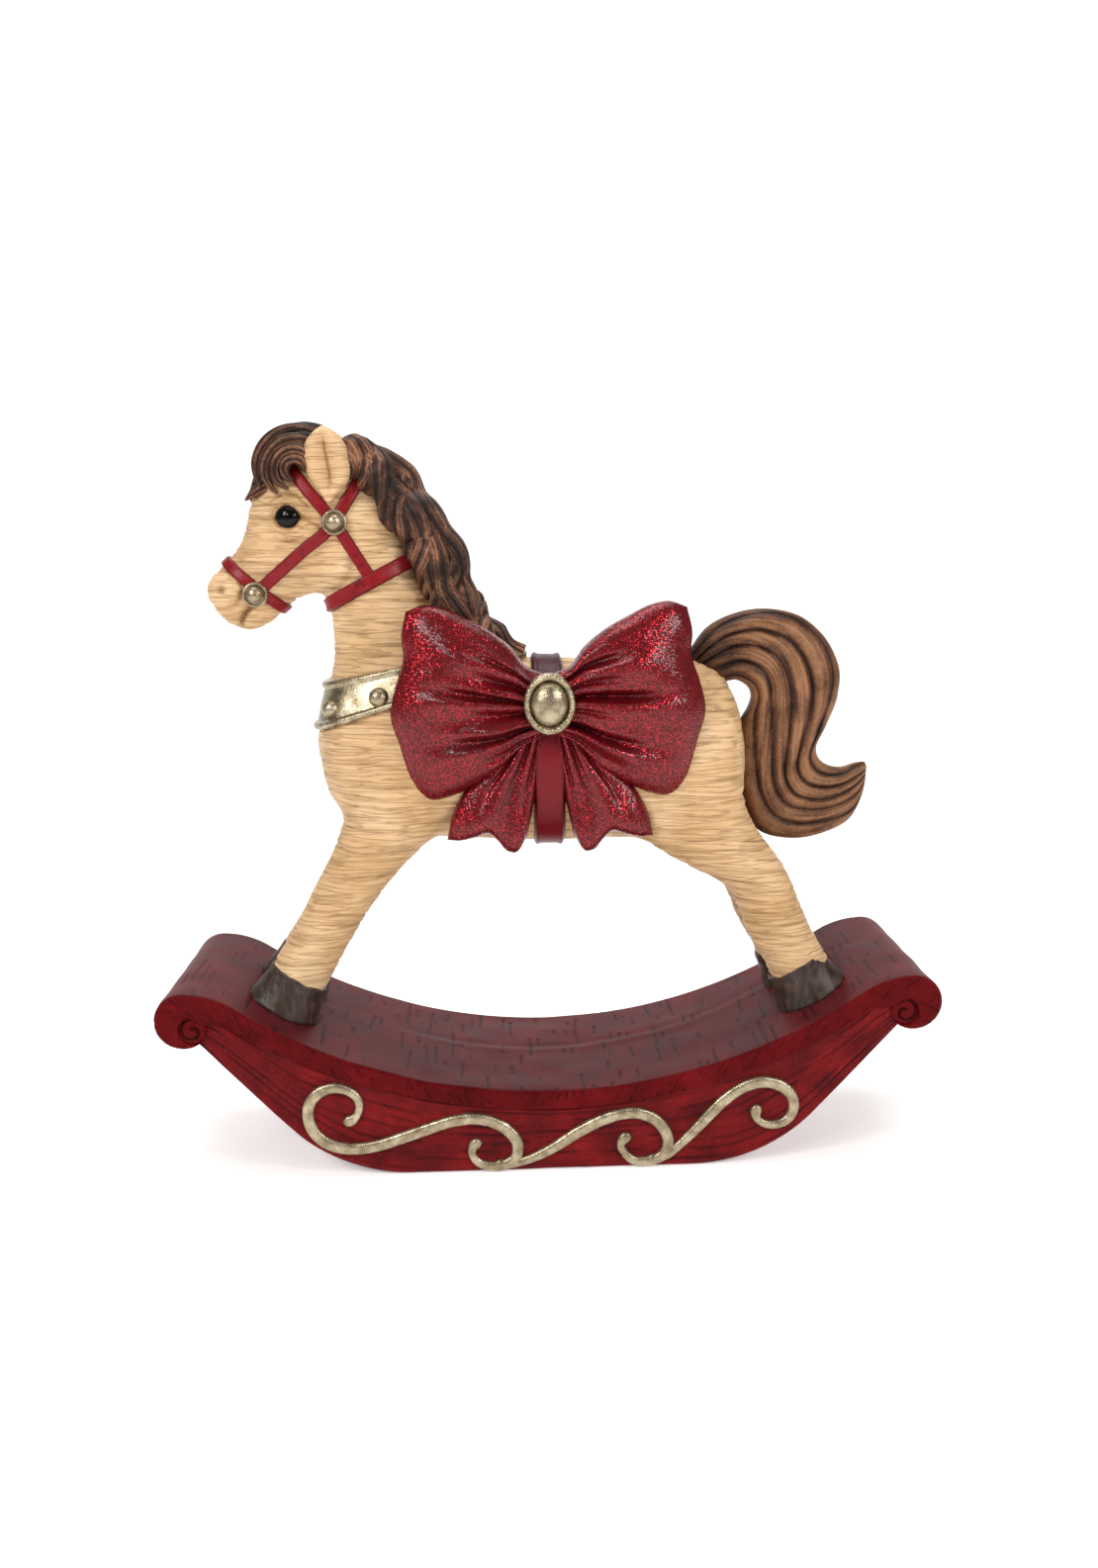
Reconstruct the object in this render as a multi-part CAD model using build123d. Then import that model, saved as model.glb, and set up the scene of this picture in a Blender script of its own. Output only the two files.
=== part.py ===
from build123d import *
import math
import os

# A painted cast-resin rocking horse on a scroll-ended rocker.
# Millimetres. The horse looks towards -X, its left side faces -Y, +Z is up.
# The origin is on the ground, under the middle of the rocker's flat foot.

os.makedirs("parts", exist_ok=True)

# ------------------------------------------------------------------ rocker
LENGTH = 310.0             # over the two scroll ends
WIDTH = 90.0               # across the deck board
DECK_RADIUS = 224.0        # curve of the deck's top face
DECK_LOW = 33.7            # height of the deck's top face at its lowest point
DECK_THICK = 8.0           # thickness of the deck board
SCROLL_RADIUS = 11.0       # roll at each end of the deck board
SCROLL_RUN = 20.0          # length over which the board turns into its roll
BOARD_PROUD = 1.5          # how far the board stands out past the casting below it
FOOT_HALF = 56.0           # half length of the flat foot
HEEL_RADIUS = 68.0         # curve from the foot up to the straight ends
HEEL_ANGLE = 45.0          # steepness of the straight ends
ORNAMENT_WIDTH = 4.8       # width of a gold strand
ORNAMENT_THICK = 1.5       # how far a gold strand stands out
CURL_RADIUS = 2.9          # round knob at the inner end of each curl

# ------------------------------------------------------------------ horse
HOOF_TO_SCROLL = 35.0      # from a hoof's middle to the middle of the scroll beyond it
HOOF_HEIGHT = 15.0
HOOF_SOLE = (15.0, 13.0)   # half length and half width on the deck
HOOF_TOP = (11.4, 10.2)    # half length and half width at the coronet
HOOF_SUNK = 4.0            # how far the blank runs below the deck before it is cut to it
LEG_OFFSET = 16.0          # from the middle plane to each leg's axis
BARREL_HALF_WIDTH = 28.5   # half the widest part of the barrel
SHOULDER = (-56.0, 155.0)  # where the front legs start, x and z
HIP = (58.0, 155.0)        # where the hind legs start
HOCK_BULGE = 4.0           # how far the hind leg bows backwards
HEAD_ORIGIN = (-82.0, 262.0)   # x and z of a point on the head's axis
HEAD_PITCH = 39.0          # how far the nose points below the level
EYE_AT = (-98.2, 259.3)
EYE_RADIUS = 4.6
EYE_SUNK = 2.4             # how far the eyeball's middle lies below the head's surface
EAR_GAP = 11.5             # from the middle plane to an ear's root
MANE_HALF = 17.5
FORELOCK_HALF = 15.0
TAIL_HALF = 9.0
HAIR_ROUND = 3.0           # rounding of the hair's outer edges

# ------------------------------------------------------------------ tack
STRAP_THICK = 1.5
BRIDLE_WIDTH = 5.0
THROAT_WIDTH = 6.0
GIRTH_WIDTH = 12.5
GIRTH_X = 1.5              # middle of the girth strap and of the bow
BOSS_RADIUS = 5.0
BOSS_DOME_RADIUS = 3.6
BOSS_STEP = 1.3            # how far a boss stands out past its strap
CHEEK_BOSS_AT = (-80.2, 257.2)
NOSE_BOSS_AT = (-112.8, 229.8)
BOSS_ROOT = 4.0            # how far a boss's blank reaches into the head before it is cut
STUD_RADIUS = 3.8
STUD_SUNK = 0.8            # how far a stud's middle lies below the collar's face
STUDS_AT = [(-81.5, 184.0), (-64.5, 189.0)]

# ------------------------------------------------------------------ bow
BOW_SUNK = 2.5             # how far the bow's back lies inside the barrel's widest part
LOOP_THICK = 13.0
TAIL_THICK = 8.0           # thickness of the bow's hanging ends
BOW_ROUND = 4.5            # rounding of a loop's front edges
MEDALLION_Z = 187.3
MEDALLION_RIM = (9.85, 11.9)     # half width and half height
MEDALLION_DOME = (7.25, 8.75)
RIM_THICK = 3.0
DOME_HEIGHT = 5.0

REACH = 70.0               # more than half the width of anything, for cutting tools

# ------------------------------------------------------------------ worked-out places
scroll_x = LENGTH / 2 - SCROLL_RADIUS
blend_x = scroll_x - SCROLL_RUN
deck_center_z = DECK_LOW + DECK_RADIUS
board_half = WIDTH / 2
casting_half = board_half - BOARD_PROUD
stance = scroll_x - HOOF_TO_SCROLL
bow_back = BARREL_HALF_WIDTH - BOW_SUNK
bow_front = bow_back + LOOP_THICK


def deck_height(x):
    """Height of the deck's top face, a circular hollow, at a distance x from the middle."""
    return deck_center_z - math.sqrt(DECK_RADIUS**2 - x**2)


blend_angle = math.asin(blend_x / DECK_RADIUS)
blend_radius = SCROLL_RUN / math.sin(blend_angle)
scroll_z = deck_height(blend_x) + blend_radius * (1 - math.cos(blend_angle)) - SCROLL_RADIUS
deck_tilt = math.asin(stance / DECK_RADIUS)
head_dir = (-math.cos(math.radians(HEAD_PITCH)), -math.sin(math.radians(HEAD_PITCH)))
head_up = (head_dir[1], -head_dir[0])


# ------------------------------------------------------------------ helpers
def side_face(*edges):
    """A flat face in the side view (x across, z up), from edges drawn in the XZ plane."""
    return make_face(Plane.XZ * Curve(children=list(edges)))


def slab(face, low, high):
    """A side-view face made solid from y = low to y = high."""
    return Pos(0, high, 0) * extrude(face, high - low, dir=(0, -1, 0))


def rounded(shape, outer):
    """A slab of hair with both long edges of its outer face rounded."""
    length = outer.length
    edges = [edge for edge in shape.edges() if abs(edge.length - length) < 0.01]
    return fillet(edges, HAIR_ROUND)


def section(x, y, z, direction, half_long, half_wide):
    """An ellipse across a limb: half_long lies in the side view, half_wide across the horse."""
    plane = Plane(origin=(x, y, z), x_dir=(0, 1, 0), z_dir=(direction[0], 0, direction[1]))
    return plane * Ellipse(half_wide, half_long)


def biggest(shape):
    """The largest solid of a shape."""
    return max(shape.solids(), key=lambda solid: solid.volume)


def left_half(shape):
    return min(shape.solids(), key=lambda solid: solid.center().Y)


def half_width_at(shape, place):
    """How far a shape's left surface lies from the middle plane at a place in the side view."""
    line = Axis((place[0], -REACH, place[1]), (0, 1, 0))
    hits = shape.find_intersection_points(line)
    return -min(point.Y for point, normal in hits)


def flipped(shape):
    """The same piece on the horse's other side."""
    return mirror(shape, about=Plane.XZ)


def band(start, end, width):
    """A straight bar across the whole horse, seen end-on as a strap from start to end."""
    rise = end[1] - start[1]
    run = end[0] - start[0]
    middle = ((start[0] + end[0]) / 2, 0, (start[1] + end[1]) / 2)
    turn = -math.degrees(math.atan2(rise, run))
    return Location(middle, (0, turn, 0)) * Box(math.hypot(run, rise), 2 * REACH, width)


# ------------------------------------------------------------------ rocker pieces
def deck_outline():
    """The curved board, edge on: a hollow top and bottom, and a roll at each end."""
    under = DECK_RADIUS + DECK_THICK
    under_x = blend_x + SCROLL_RUN / 2
    under_z = deck_center_z - math.sqrt(under**2 - under_x**2)
    blend_z = deck_height(blend_x)
    crown_z = scroll_z + SCROLL_RADIUS
    top = ThreePointArc((-blend_x, blend_z), (0, DECK_LOW), (blend_x, blend_z))
    bottom = ThreePointArc((-under_x, under_z), (0, DECK_LOW - DECK_THICK), (under_x, under_z))
    pieces = [top, bottom]
    for end in (-1, 1):
        half = blend_angle / 2
        bulge_x = scroll_x - blend_radius * math.sin(half)
        bulge_z = crown_z - blend_radius * (1 - math.cos(half))
        pieces.append(
            ThreePointArc((end * blend_x, blend_z), (end * bulge_x, bulge_z), (end * scroll_x, crown_z))
        )
        pieces.append(Line((end * scroll_x, crown_z), (end * scroll_x, scroll_z)))
        pieces.append(Line((end * scroll_x, scroll_z), (end * under_x, under_z)))
    return side_face(*pieces)


def deck():
    """The deck board with its two rolls, right across the rocker."""
    board = slab(deck_outline(), -board_half, board_half)
    for end in (-1, 1):
        roll = Pos(end * scroll_x, 0, scroll_z) * Rot(90, 0, 0) * Cylinder(SCROLL_RADIUS, WIDTH)
        board = board + roll
    return biggest(board)


def casting_outline():
    """The crescent under the deck: flat foot, round heels, straight ends, open at the top."""
    turn = math.radians(HEEL_ANGLE)
    heel_x = FOOT_HALF + HEEL_RADIUS * math.sin(turn)
    heel_z = HEEL_RADIUS * (1 - math.cos(turn))
    mid_x = FOOT_HALF + HEEL_RADIUS * math.sin(turn / 2)
    mid_z = HEEL_RADIUS * (1 - math.cos(turn / 2))
    notch_x = scroll_x - SCROLL_RADIUS * math.cos(math.radians(60))
    notch_z = scroll_z - SCROLL_RADIUS * math.sin(math.radians(60))
    pieces = [Line((-FOOT_HALF, 0), (FOOT_HALF, 0))]
    for end in (-1, 1):
        heel_arc = ThreePointArc((end * FOOT_HALF, 0), (end * mid_x, mid_z), (end * heel_x, heel_z))
        pieces.append(heel_arc)
        pieces.append(Line((end * heel_x, heel_z), (end * notch_x, notch_z)))
        pieces.append(Line((end * notch_x, notch_z), (end * blend_x, deck_height(blend_x))))
    low_top = DECK_LOW - DECK_THICK / 2
    pieces.append(
        ThreePointArc(
            (-blend_x, deck_height(blend_x)), (0, low_top), (blend_x, deck_height(blend_x))
        )
    )
    return side_face(*pieces)


def casting():
    return biggest(slab(casting_outline(), -casting_half, casting_half) - deck_board)


def strand(points):
    """One gold strand: a flat ribbon along a smooth curve, with a knob at each curled end."""
    return trace(Spline(*points), ORNAMENT_WIDTH)


def wave_scroll():
    """The wave scroll on the rocker's left side: a volute at each end and two in the middle."""
    front_curl = strand(
        [
            (-84, 23), (-77, 28), (-80.5, 36), (-92, 36), (-97, 27), (-92.5, 16), (-80, 11.5),
            (-60, 15.5), (-32, 23), (-17.5, 17.5), (-14.5, 7), (-21, 3.2), (-29, 5), (-31.5, 11),
        ]
    )
    middle_curl = strand(
        [
            (-19, 4), (-10, 5.5), (0, 9.5), (10, 16), (28, 23.5), (42, 19.5), (45.5, 9), (38, 3.4),
            (30, 5.5), (29, 12),
        ]
    )
    rear_curl = strand(
        [
            (40, 4), (49, 7.5), (57, 15.5), (70, 29), (84, 35), (96, 29), (95, 19), (85, 16.5),
            (83, 24),
        ]
    )
    knobs = [(-84, 23), (-31.5, 11), (29, 12), (83, 24)]
    flat = front_curl + middle_curl + rear_curl
    flat = flat + [Pos(x, z) * Circle(CURL_RADIUS) for x, z in knobs]
    return biggest(slab(Plane.XZ * flat, -casting_half - ORNAMENT_THICK, -casting_half) - deck_board)


# ------------------------------------------------------------------ horse pieces
def torso_shape(grow):
    """The barrel, from chest to rump, as ellipses along x; grow adds to it all round."""
    wide = BARREL_HALF_WIDTH
    stations = [
        (-90 - grow, 165, 10, 0.34),
        (-86 - grow, 166, 21, 0.62),
        (-76, 167, 31, 0.84),
        (-55, 167, 36, 0.96),
        (-20, 165, 37.5, 1.0),
        (20, 164, 37.3, 1.0),
        (50, 164, 36.5, 0.98),
        (68, 165.5, 33, 0.90),
        (78 + grow, 162, 24, 0.68),
        (82 + grow, 159, 12, 0.36),
    ]
    rings = [section(x, 0, z, (1, 0), tall + grow, share * wide + grow) for x, z, tall, share in stations]
    return loft(rings)


def neck_shape(grow):
    """The neck, as level ellipses from inside the barrel up to the poll."""
    stations = [
        (176, -52, 36, 24),
        (190, -50.5, 35, 22),
        (204, -53, 31, 19),
        (218, -60, 24, 16.5),
        (232, -66, 20, 14.5),
        (246, -69, 17.5, 13.5),
        (260, -72, 15, 12.5),
        (272 + grow, -74, 10, 9),
    ]
    rings = [section(x, 0, z, (0, 1), deep + grow, wide + grow) for z, x, deep, wide in stations]
    return loft(rings)


def head_shape(grow):
    """The head, as ellipses along its own axis from the poll to the lips."""
    stations = [
        (-12 - grow, 4, 13, 9),
        (-4, 3.5, 19.5, 12),
        (8, 2, 23, 13.8),
        (22, 0, 22.4, 13.6),
        (34, -1.2, 16.5, 11.8),
        (48, -2.75, 14.2, 10.6),
        (57, -2.2, 11.6, 9.6),
        (61.5 + grow, -1.6, 6.5, 5.5),
    ]
    rings = []
    for along, up, tall, wide in stations:
        x = HEAD_ORIGIN[0] + head_dir[0] * along + head_up[0] * up
        z = HEAD_ORIGIN[1] + head_dir[1] * along + head_up[1] * up
        rings.append(section(x, 0, z, head_dir, tall + grow, wide + grow))
    return loft(rings)


def ear():
    """One ear, a flat leaf standing beside the poll, on the left."""
    stations = [
        (262, -82, 5.5, 4.2, 0.0),
        (271, -81.5, 7.0, 4.0, 0.6),
        (281, -82, 9.2, 3.6, 1.2),
        (288, -82.5, 7.6, 3.0, 1.6),
        (293, -83, 2.6, 1.5, 2.0),
    ]
    rings = [section(x, -EAR_GAP - out, z, (0, 1), deep, wide) for z, x, deep, wide, out in stations]
    return loft(rings)


def leg(start, end_sign, bulge):
    """One left leg, from inside the barrel down to the top of its hoof."""
    foot_x = end_sign * (stance - HOOF_HEIGHT * math.sin(deck_tilt))
    foot_z = deck_height(stance) + HOOF_HEIGHT * math.cos(deck_tilt)
    run = foot_x - start[0]
    rise = foot_z - start[1]
    length = math.hypot(run, rise)
    along = (run / length, rise / length)
    stations = [
        (0.0, 17.0, 9.5),
        (0.25, 18.5, 12.2),
        (0.5, 13.4, 11.4),
        (0.78, 11.6, 10.0),
    ]
    rings = []
    for share, long, wide in stations:
        bow = bulge * math.sin(math.pi * share)
        x = start[0] + run * share + bow * along[1] * -1
        z = start[1] + rise * share + bow * along[0]
        rings.append(section(x, -LEG_OFFSET, z, along, long, wide))
    rings.append(hoof_ring(end_sign, HOOF_HEIGHT, HOOF_TOP))
    return loft(rings)


def hoof_ring(end_sign, lift, size):
    """An ellipse square to the deck under a left hoof, lifted off the deck along its normal."""
    x = end_sign * (stance - lift * math.sin(deck_tilt))
    z = deck_height(stance) + lift * math.cos(deck_tilt)
    down = (end_sign * math.sin(deck_tilt), -math.cos(deck_tilt))
    return section(x, -LEG_OFFSET, z, down, size[0], size[1])


def hoof(end_sign):
    """One left hoof, flared towards the deck and cut to the deck's curve."""
    flare = HOOF_SUNK / HOOF_HEIGHT
    blank_sole = [sole + (sole - top) * flare for sole, top in zip(HOOF_SOLE, HOOF_TOP)]
    rings = [hoof_ring(end_sign, -HOOF_SUNK, blank_sole), hoof_ring(end_sign, HOOF_HEIGHT, HOOF_TOP)]
    return biggest(loft(rings) - deck_board)


def tail_blank():
    """The tail plume: up off the rump, over, down in an S and out in a flick."""
    outer = Spline(
        (61, 207), (75, 217.5), (90, 220), (105, 217), (115, 209), (121.5, 197), (121, 183),
        (113, 165), (115, 157.5), (123, 154), (133.5, 156),
    )
    lower = Spline((133.5, 156), (133, 144), (127, 132), (112, 125), (92, 125.5))
    inner = Polyline((92, 125.5), (72, 140), (72, 165), (80, 173))
    hole = Spline((80, 173), (85, 180), (84.5, 188), (73.5, 189.5))
    root = Line((73.5, 189.5), (61, 207))
    return rounded(slab(side_face(outer, lower, inner, hole, root), -TAIL_HALF, TAIL_HALF), outer)


def mane_blank():
    """The mane: a thick fall of hair down the crest and over both sides of the neck."""
    outer = Spline(
        (-76, 290.8), (-66, 289.5), (-57, 283), (-50, 271), (-42, 264.5), (-30, 249),
        (-28, 236), (-21, 222), (-12, 211), (-5, 201),
    )
    foot = Polyline((-5, 201), (-20, 194), (-42, 205))
    inner = Spline((-42, 205), (-46, 226), (-50.5, 240), (-64, 263), (-76, 281))
    top = Line((-76, 281), (-76, 290.8))
    return rounded(slab(side_face(outer, foot, inner, top), -MANE_HALF, MANE_HALF), outer)


def forelock_blank():
    """The forelock: a curl that sweeps forward over the brow."""
    outer = Spline(
        (-80, 291), (-92, 296.5), (-103, 293.5), (-109.5, 285.5), (-112, 275), (-115, 267.5)
    )
    brow = Spline((-115, 267.5), (-107, 271.3), (-95, 268))
    back = Polyline((-95, 268), (-93, 280), (-80, 284), (-80, 291))
    return rounded(slab(side_face(outer, brow, back), -FORELOCK_HALF, FORELOCK_HALF), outer)


def eye():
    """One left eyeball, of which only the front stands out of the head."""
    depth = half_width_at(head, EYE_AT) - EYE_SUNK
    ball = Pos(EYE_AT[0], -depth, EYE_AT[1]) * Sphere(EYE_RADIUS)
    return biggest(ball - head)


# ------------------------------------------------------------------ tack pieces
def boss(place):
    """A round gold boss on the left: a flat collar with a low dome in it."""
    surface = half_width_at(head, place)
    face = surface + STRAP_THICK + BOSS_STEP
    root = surface - BOSS_ROOT
    turned = Rot(90, 0, 0)
    collar = turned * Pos(0, 0, (root + face) / 2) * Cylinder(BOSS_RADIUS, face - root)
    dome_ball = turned * Pos(0, 0, face - BOSS_DOME_RADIUS / 3) * Sphere(BOSS_DOME_RADIUS)
    return biggest(Pos(place[0], 0, place[1]) * (collar + dome_ball) - head - neck)


def stud(place):
    """A domed stud on the left of the breast collar."""
    depth = half_width_at(breast_collar, place) - STUD_SUNK
    ball = Pos(place[0], -depth, place[1]) * Sphere(STUD_RADIUS)
    return biggest(ball - breast_collar - torso - neck)


def bow_loop_outline(side):
    """One loop of the bow; side is -1 for the front loop and +1 for the rear one."""
    knot_top = MEDALLION_Z + MEDALLION_RIM[1] * 0.8
    knot_low = MEDALLION_Z - MEDALLION_RIM[1] * 0.8
    steps = [
        (10, 202), (22, 215), (40, 224), (52, 224.5), (56, 216), (57, 203), (61.5, 185), (57, 165),
        (51, 150.5), (40, 148.5), (25, 157), (9, 173),
    ]
    points = [(GIRTH_X + side * dx, z) for dx, z in steps]
    start = (GIRTH_X, knot_top)
    finish = (GIRTH_X, knot_low)
    return side_face(Spline(start, *points, finish), Line(finish, start))


def bow_loop(side):
    pillow = slab(bow_loop_outline(side), -bow_front, -bow_back)
    front = pillow.faces().sort_by(Axis.Y)[0]
    return fillet(front.outer_wire().edges(), BOW_ROUND)


def bow_tail(side):
    """One hanging end of the bow, cut in a shallow V."""
    steps = [(2, 176), (36, 152), (41, 134), (39, 131), (24, 134.3), (15, 126.5), (8, 134), (5, 150)]
    points = [(GIRTH_X + side * dx, z) for dx, z in steps]
    return slab(side_face(Polyline(*points, close=True)), -bow_back - TAIL_THICK, -bow_back)


def medallion_oval(size, low, high):
    outline = Plane.XZ * Pos(GIRTH_X, MEDALLION_Z) * Ellipse(size[0], size[1])
    return slab(outline, -high, -low)


def medallion_dome():
    """The oval cabochon, half an egg seated inside the rim."""
    ball = scale(Sphere(1), by=(MEDALLION_DOME[0], DOME_HEIGHT, MEDALLION_DOME[1]))
    seat = medallion_oval(MEDALLION_DOME, bow_front, bow_front + DOME_HEIGHT)
    return biggest((Pos(GIRTH_X, -bow_front, MEDALLION_Z) * ball) & seat)


# ------------------------------------------------------------------ assembly
deck_board = deck()
torso = torso_shape(0)
neck_full = neck_shape(0)
head = head_shape(0)
neck = biggest(neck_full - torso - head)
body_skin = torso_shape(STRAP_THICK) + neck_shape(STRAP_THICK)
head_skin = head_shape(STRAP_THICK) + neck_shape(STRAP_THICK)

pieces = {
    "rocker_deck": deck_board,
    "rocker_body": casting(),
    "torso": torso,
    "neck": neck,
    "head": head,
}

front_leg = biggest(leg(SHOULDER, -1, 0) - torso)
hind_leg = biggest(leg(HIP, 1, HOCK_BULGE) - torso)
front_hoof = hoof(-1)
hind_hoof = hoof(1)
ear_left = biggest(ear() - head - neck)
ears = [ear_left, flipped(ear_left)]

cheek_boss = biggest(boss(CHEEK_BOSS_AT) - ear_left)
nose_boss = boss(NOSE_BOSS_AT)
bosses = [cheek_boss, flipped(cheek_boss), nose_boss, flipped(nose_boss)]


def strap(start, end, width, skin):
    """A strap round the head or neck: the part of the skin layer that lies in a straight band."""
    shape = (band(start, end, width) & skin) - head - neck - torso
    for other in bosses + ears:
        shape = shape - other
    return shape


muzzle_ring = strap((-133, 250.5), (-95, 214.5), BRIDLE_WIDTH, head_skin).solids().sort_by(Axis.Z)
noseband = muzzle_ring[-1]
chin_strap = muzzle_ring[0]
browband = biggest(strap(CHEEK_BOSS_AT, (-104, 287), BRIDLE_WIDTH, head_skin))
crown_strap = biggest(strap(CHEEK_BOSS_AT, (-62, 287), BRIDLE_WIDTH, head_skin))
throat_strap = biggest(strap((-44, 245.7), (-96, 218.3), THROAT_WIDTH, head_skin))
cheek_strap = left_half(strap(CHEEK_BOSS_AT, NOSE_BOSS_AT, BRIDLE_WIDTH, head_skin))
drop_strap = left_half(strap(CHEEK_BOSS_AT, (-66, 234), BRIDLE_WIDTH, head_skin) - throat_strap)

collar_band = side_face(Polyline((-98, 191.5), (-12, 210), (-12, 200.5), (-98, 172.5), close=True))
breast_collar = biggest((slab(collar_band, -REACH, REACH) & body_skin) - torso - neck - head)
girth_strap = biggest((band((GIRTH_X, 90), (GIRTH_X, 240), GIRTH_WIDTH) & torso_shape(STRAP_THICK)) - torso)
studs = [stud(place) for place in STUDS_AT]

mane = mane_blank() - torso - neck - head - ear_left - flipped(ear_left) - crown_strap - throat_strap
mane = mane - breast_collar
forelock = forelock_blank() - head - ear_left - flipped(ear_left) - browband
tail = tail_blank() - torso - hind_leg - flipped(hind_leg)

front_loop = bow_loop(-1)
rear_loop = bow_loop(1)
bow_parts = {
    "bow_front_loop": front_loop,
    "bow_rear_loop": rear_loop,
    "bow_front_tail": bow_tail(-1) - front_loop - rear_loop,
    "bow_rear_tail": bow_tail(1) - front_loop - rear_loop,
}
for name, shape in bow_parts.items():
    pieces[name] = biggest(shape - torso - girth_strap - front_leg - hind_leg - breast_collar - neck)

paired = {
    "front_leg": front_leg,
    "hind_leg": hind_leg,
    "hoof_front": front_hoof,
    "hoof_hind": hind_hoof,
    "ear": ear_left,
    "eye": eye(),
    "cheek_boss": cheek_boss,
    "nose_boss": nose_boss,
    "cheek_strap": cheek_strap,
    "drop_strap": drop_strap,
    "scroll_ornament": wave_scroll(),
}
for name, shape in paired.items():
    pieces[name + "_left"] = shape
    pieces[name + "_right"] = flipped(shape)

pieces.update(
    {
        "noseband": noseband,
        "chin_strap": chin_strap,
        "browband": browband,
        "crown_strap": crown_strap,
        "throat_strap": throat_strap,
        "breast_collar": breast_collar,
        "collar_studs": Compound(studs + [flipped(one) for one in studs]),
        "girth_strap": girth_strap,
        "mane": biggest(mane),
        "forelock": biggest(forelock),
        "tail": biggest(tail),
        "medallion_rim": biggest(
            medallion_oval(MEDALLION_RIM, bow_front, bow_front + RIM_THICK)
            - medallion_oval(MEDALLION_DOME, bow_front, bow_front + RIM_THICK)
        ),
        "medallion_dome": medallion_dome(),
    }
)

for name, shape in pieces.items():
    export_step(shape, f"parts/{name}.step")
    print(name, round(shape.volume, 1))
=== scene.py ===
import bpy
import math
import numpy as np
from mathutils import Matrix, Vector


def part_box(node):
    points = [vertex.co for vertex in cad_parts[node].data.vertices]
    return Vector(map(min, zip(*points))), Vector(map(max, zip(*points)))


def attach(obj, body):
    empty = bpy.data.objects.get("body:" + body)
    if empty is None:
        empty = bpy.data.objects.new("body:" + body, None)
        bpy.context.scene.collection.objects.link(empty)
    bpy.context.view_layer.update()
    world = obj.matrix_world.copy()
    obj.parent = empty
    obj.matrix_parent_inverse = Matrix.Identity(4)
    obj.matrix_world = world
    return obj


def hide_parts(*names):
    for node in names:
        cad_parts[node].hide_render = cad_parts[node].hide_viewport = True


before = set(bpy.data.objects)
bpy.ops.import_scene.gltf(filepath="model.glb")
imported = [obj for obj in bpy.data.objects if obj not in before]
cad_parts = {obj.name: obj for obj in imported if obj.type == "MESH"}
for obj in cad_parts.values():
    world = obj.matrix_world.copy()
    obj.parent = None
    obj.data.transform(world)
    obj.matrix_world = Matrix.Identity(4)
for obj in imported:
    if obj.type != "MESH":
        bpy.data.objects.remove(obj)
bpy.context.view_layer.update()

# Shapes are worked out in millimetres in the frame's own axes and turned to metres when a mesh is made.
# The horse looks towards -X, its left side faces -Y, +Z is up.
MM = 0.001
TAU = 2 * math.pi


def middle(node):
    """Middle of a CAD node, in millimetres."""
    low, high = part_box(node)
    return (np.array(low) + np.array(high)) / 2 / MM


EYE_AT = middle("eye_left")[[0, 2]]
CHEEK, NOSE = middle("cheek_boss_left")[[0, 2]], middle("nose_boss_left")[[0, 2]]
BOW_MIDDLE = middle("girth_strap")[0]
MEDAL_AT = middle("medallion_dome") + [0, 3.1, 0]


# ------------------------------------------------------------------ noise and curves
def noise(x, y, z, seed=0):
    """Smooth random field in -1..1: a random value at each whole-number point of space,
    joined between points by the smoothstep curve 3t^2 - 2t^3."""
    base = [np.floor(c).astype(np.int64) for c in (x, y, z)]
    part = [c - b for c, b in zip((x, y, z), base)]
    part = [t * t * (3 - 2 * t) for t in part]
    total = np.zeros(np.broadcast(x, y, z).shape)
    for corner in range(8):
        weight = 1.0
        mixed = seed * 974634777
        for axis, prime in enumerate((73856093, 19349663, 83492791)):
            bit = corner >> axis & 1
            weight = weight * (part[axis] if bit else 1 - part[axis])
            mixed = mixed + (base[axis] + bit) * prime
        mixed = (mixed ^ (mixed >> 13)) * 1274126177 & 0x7FFFFFFF
        mixed = (mixed ^ (mixed >> 16)) * 668265263 & 0x7FFFFFFF
        total = total + weight * (mixed / 0x3FFFFFFF - 1)
    return total


def smooth_rows(rows, count):
    """Rows of values against their first column, joined by cubic spans whose slope at each
    row is that of its neighbours, and read at evenly spaced values of the first column."""
    rows = np.array(rows, float)
    t = rows[:, 0]
    slope = np.gradient(rows, t, axis=0)
    at = np.linspace(t[0], t[-1], count)
    i = np.clip(np.searchsorted(t, at) - 1, 0, len(t) - 2)
    span = (t[i + 1] - t[i])[:, None]
    u = ((at - t[i])[:, None]) / span
    return (
        rows[i] * (1 + 2 * u) * (1 - u) ** 2
        + slope[i] * span * u * (1 - u) ** 2
        + rows[i + 1] * u**2 * (3 - 2 * u)
        + slope[i + 1] * span * u**2 * (u - 1)
    )


def run_length(points):
    """Length along a broken line from its first point to each of its points."""
    return np.concatenate([[0], np.cumsum(np.linalg.norm(np.diff(points, axis=0), axis=1))])


def smooth_path(points, count):
    """A smooth curve through points, at even steps of the chord length between them."""
    points = np.array(points, float)
    return smooth_rows(np.column_stack([run_length(points), points]), count)[:, 1:]


def bump(distance, width):
    """A bell of height 1 that falls to 1/e at distance = width."""
    return np.exp(-((distance / width) ** 2))


def step(value, low, high):
    """0 below low, 1 above high, smoothstep between."""
    t = np.clip((value - low) / (high - low), 0, 1)
    return t * t * (3 - 2 * t)


def unit(v):
    """A vector, or each row of a table of them, at length 1."""
    return v / np.maximum(np.linalg.norm(v, axis=-1, keepdims=True), 1e-9)


def path_distance(x, z, points):
    """Distance in the side view to a broken line."""
    best = np.full(np.shape(x), 1e9)
    points = np.array(points, float)
    for a, b in zip(points[:-1], points[1:]):
        run = b - a
        t = np.clip(((x - a[0]) * run[0] + (z - a[1]) * run[1]) / (run @ run), 0, 1)
        best = np.minimum(best, np.hypot(x - a[0] - t * run[0], z - a[1] - t * run[1]))
    return best


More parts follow.
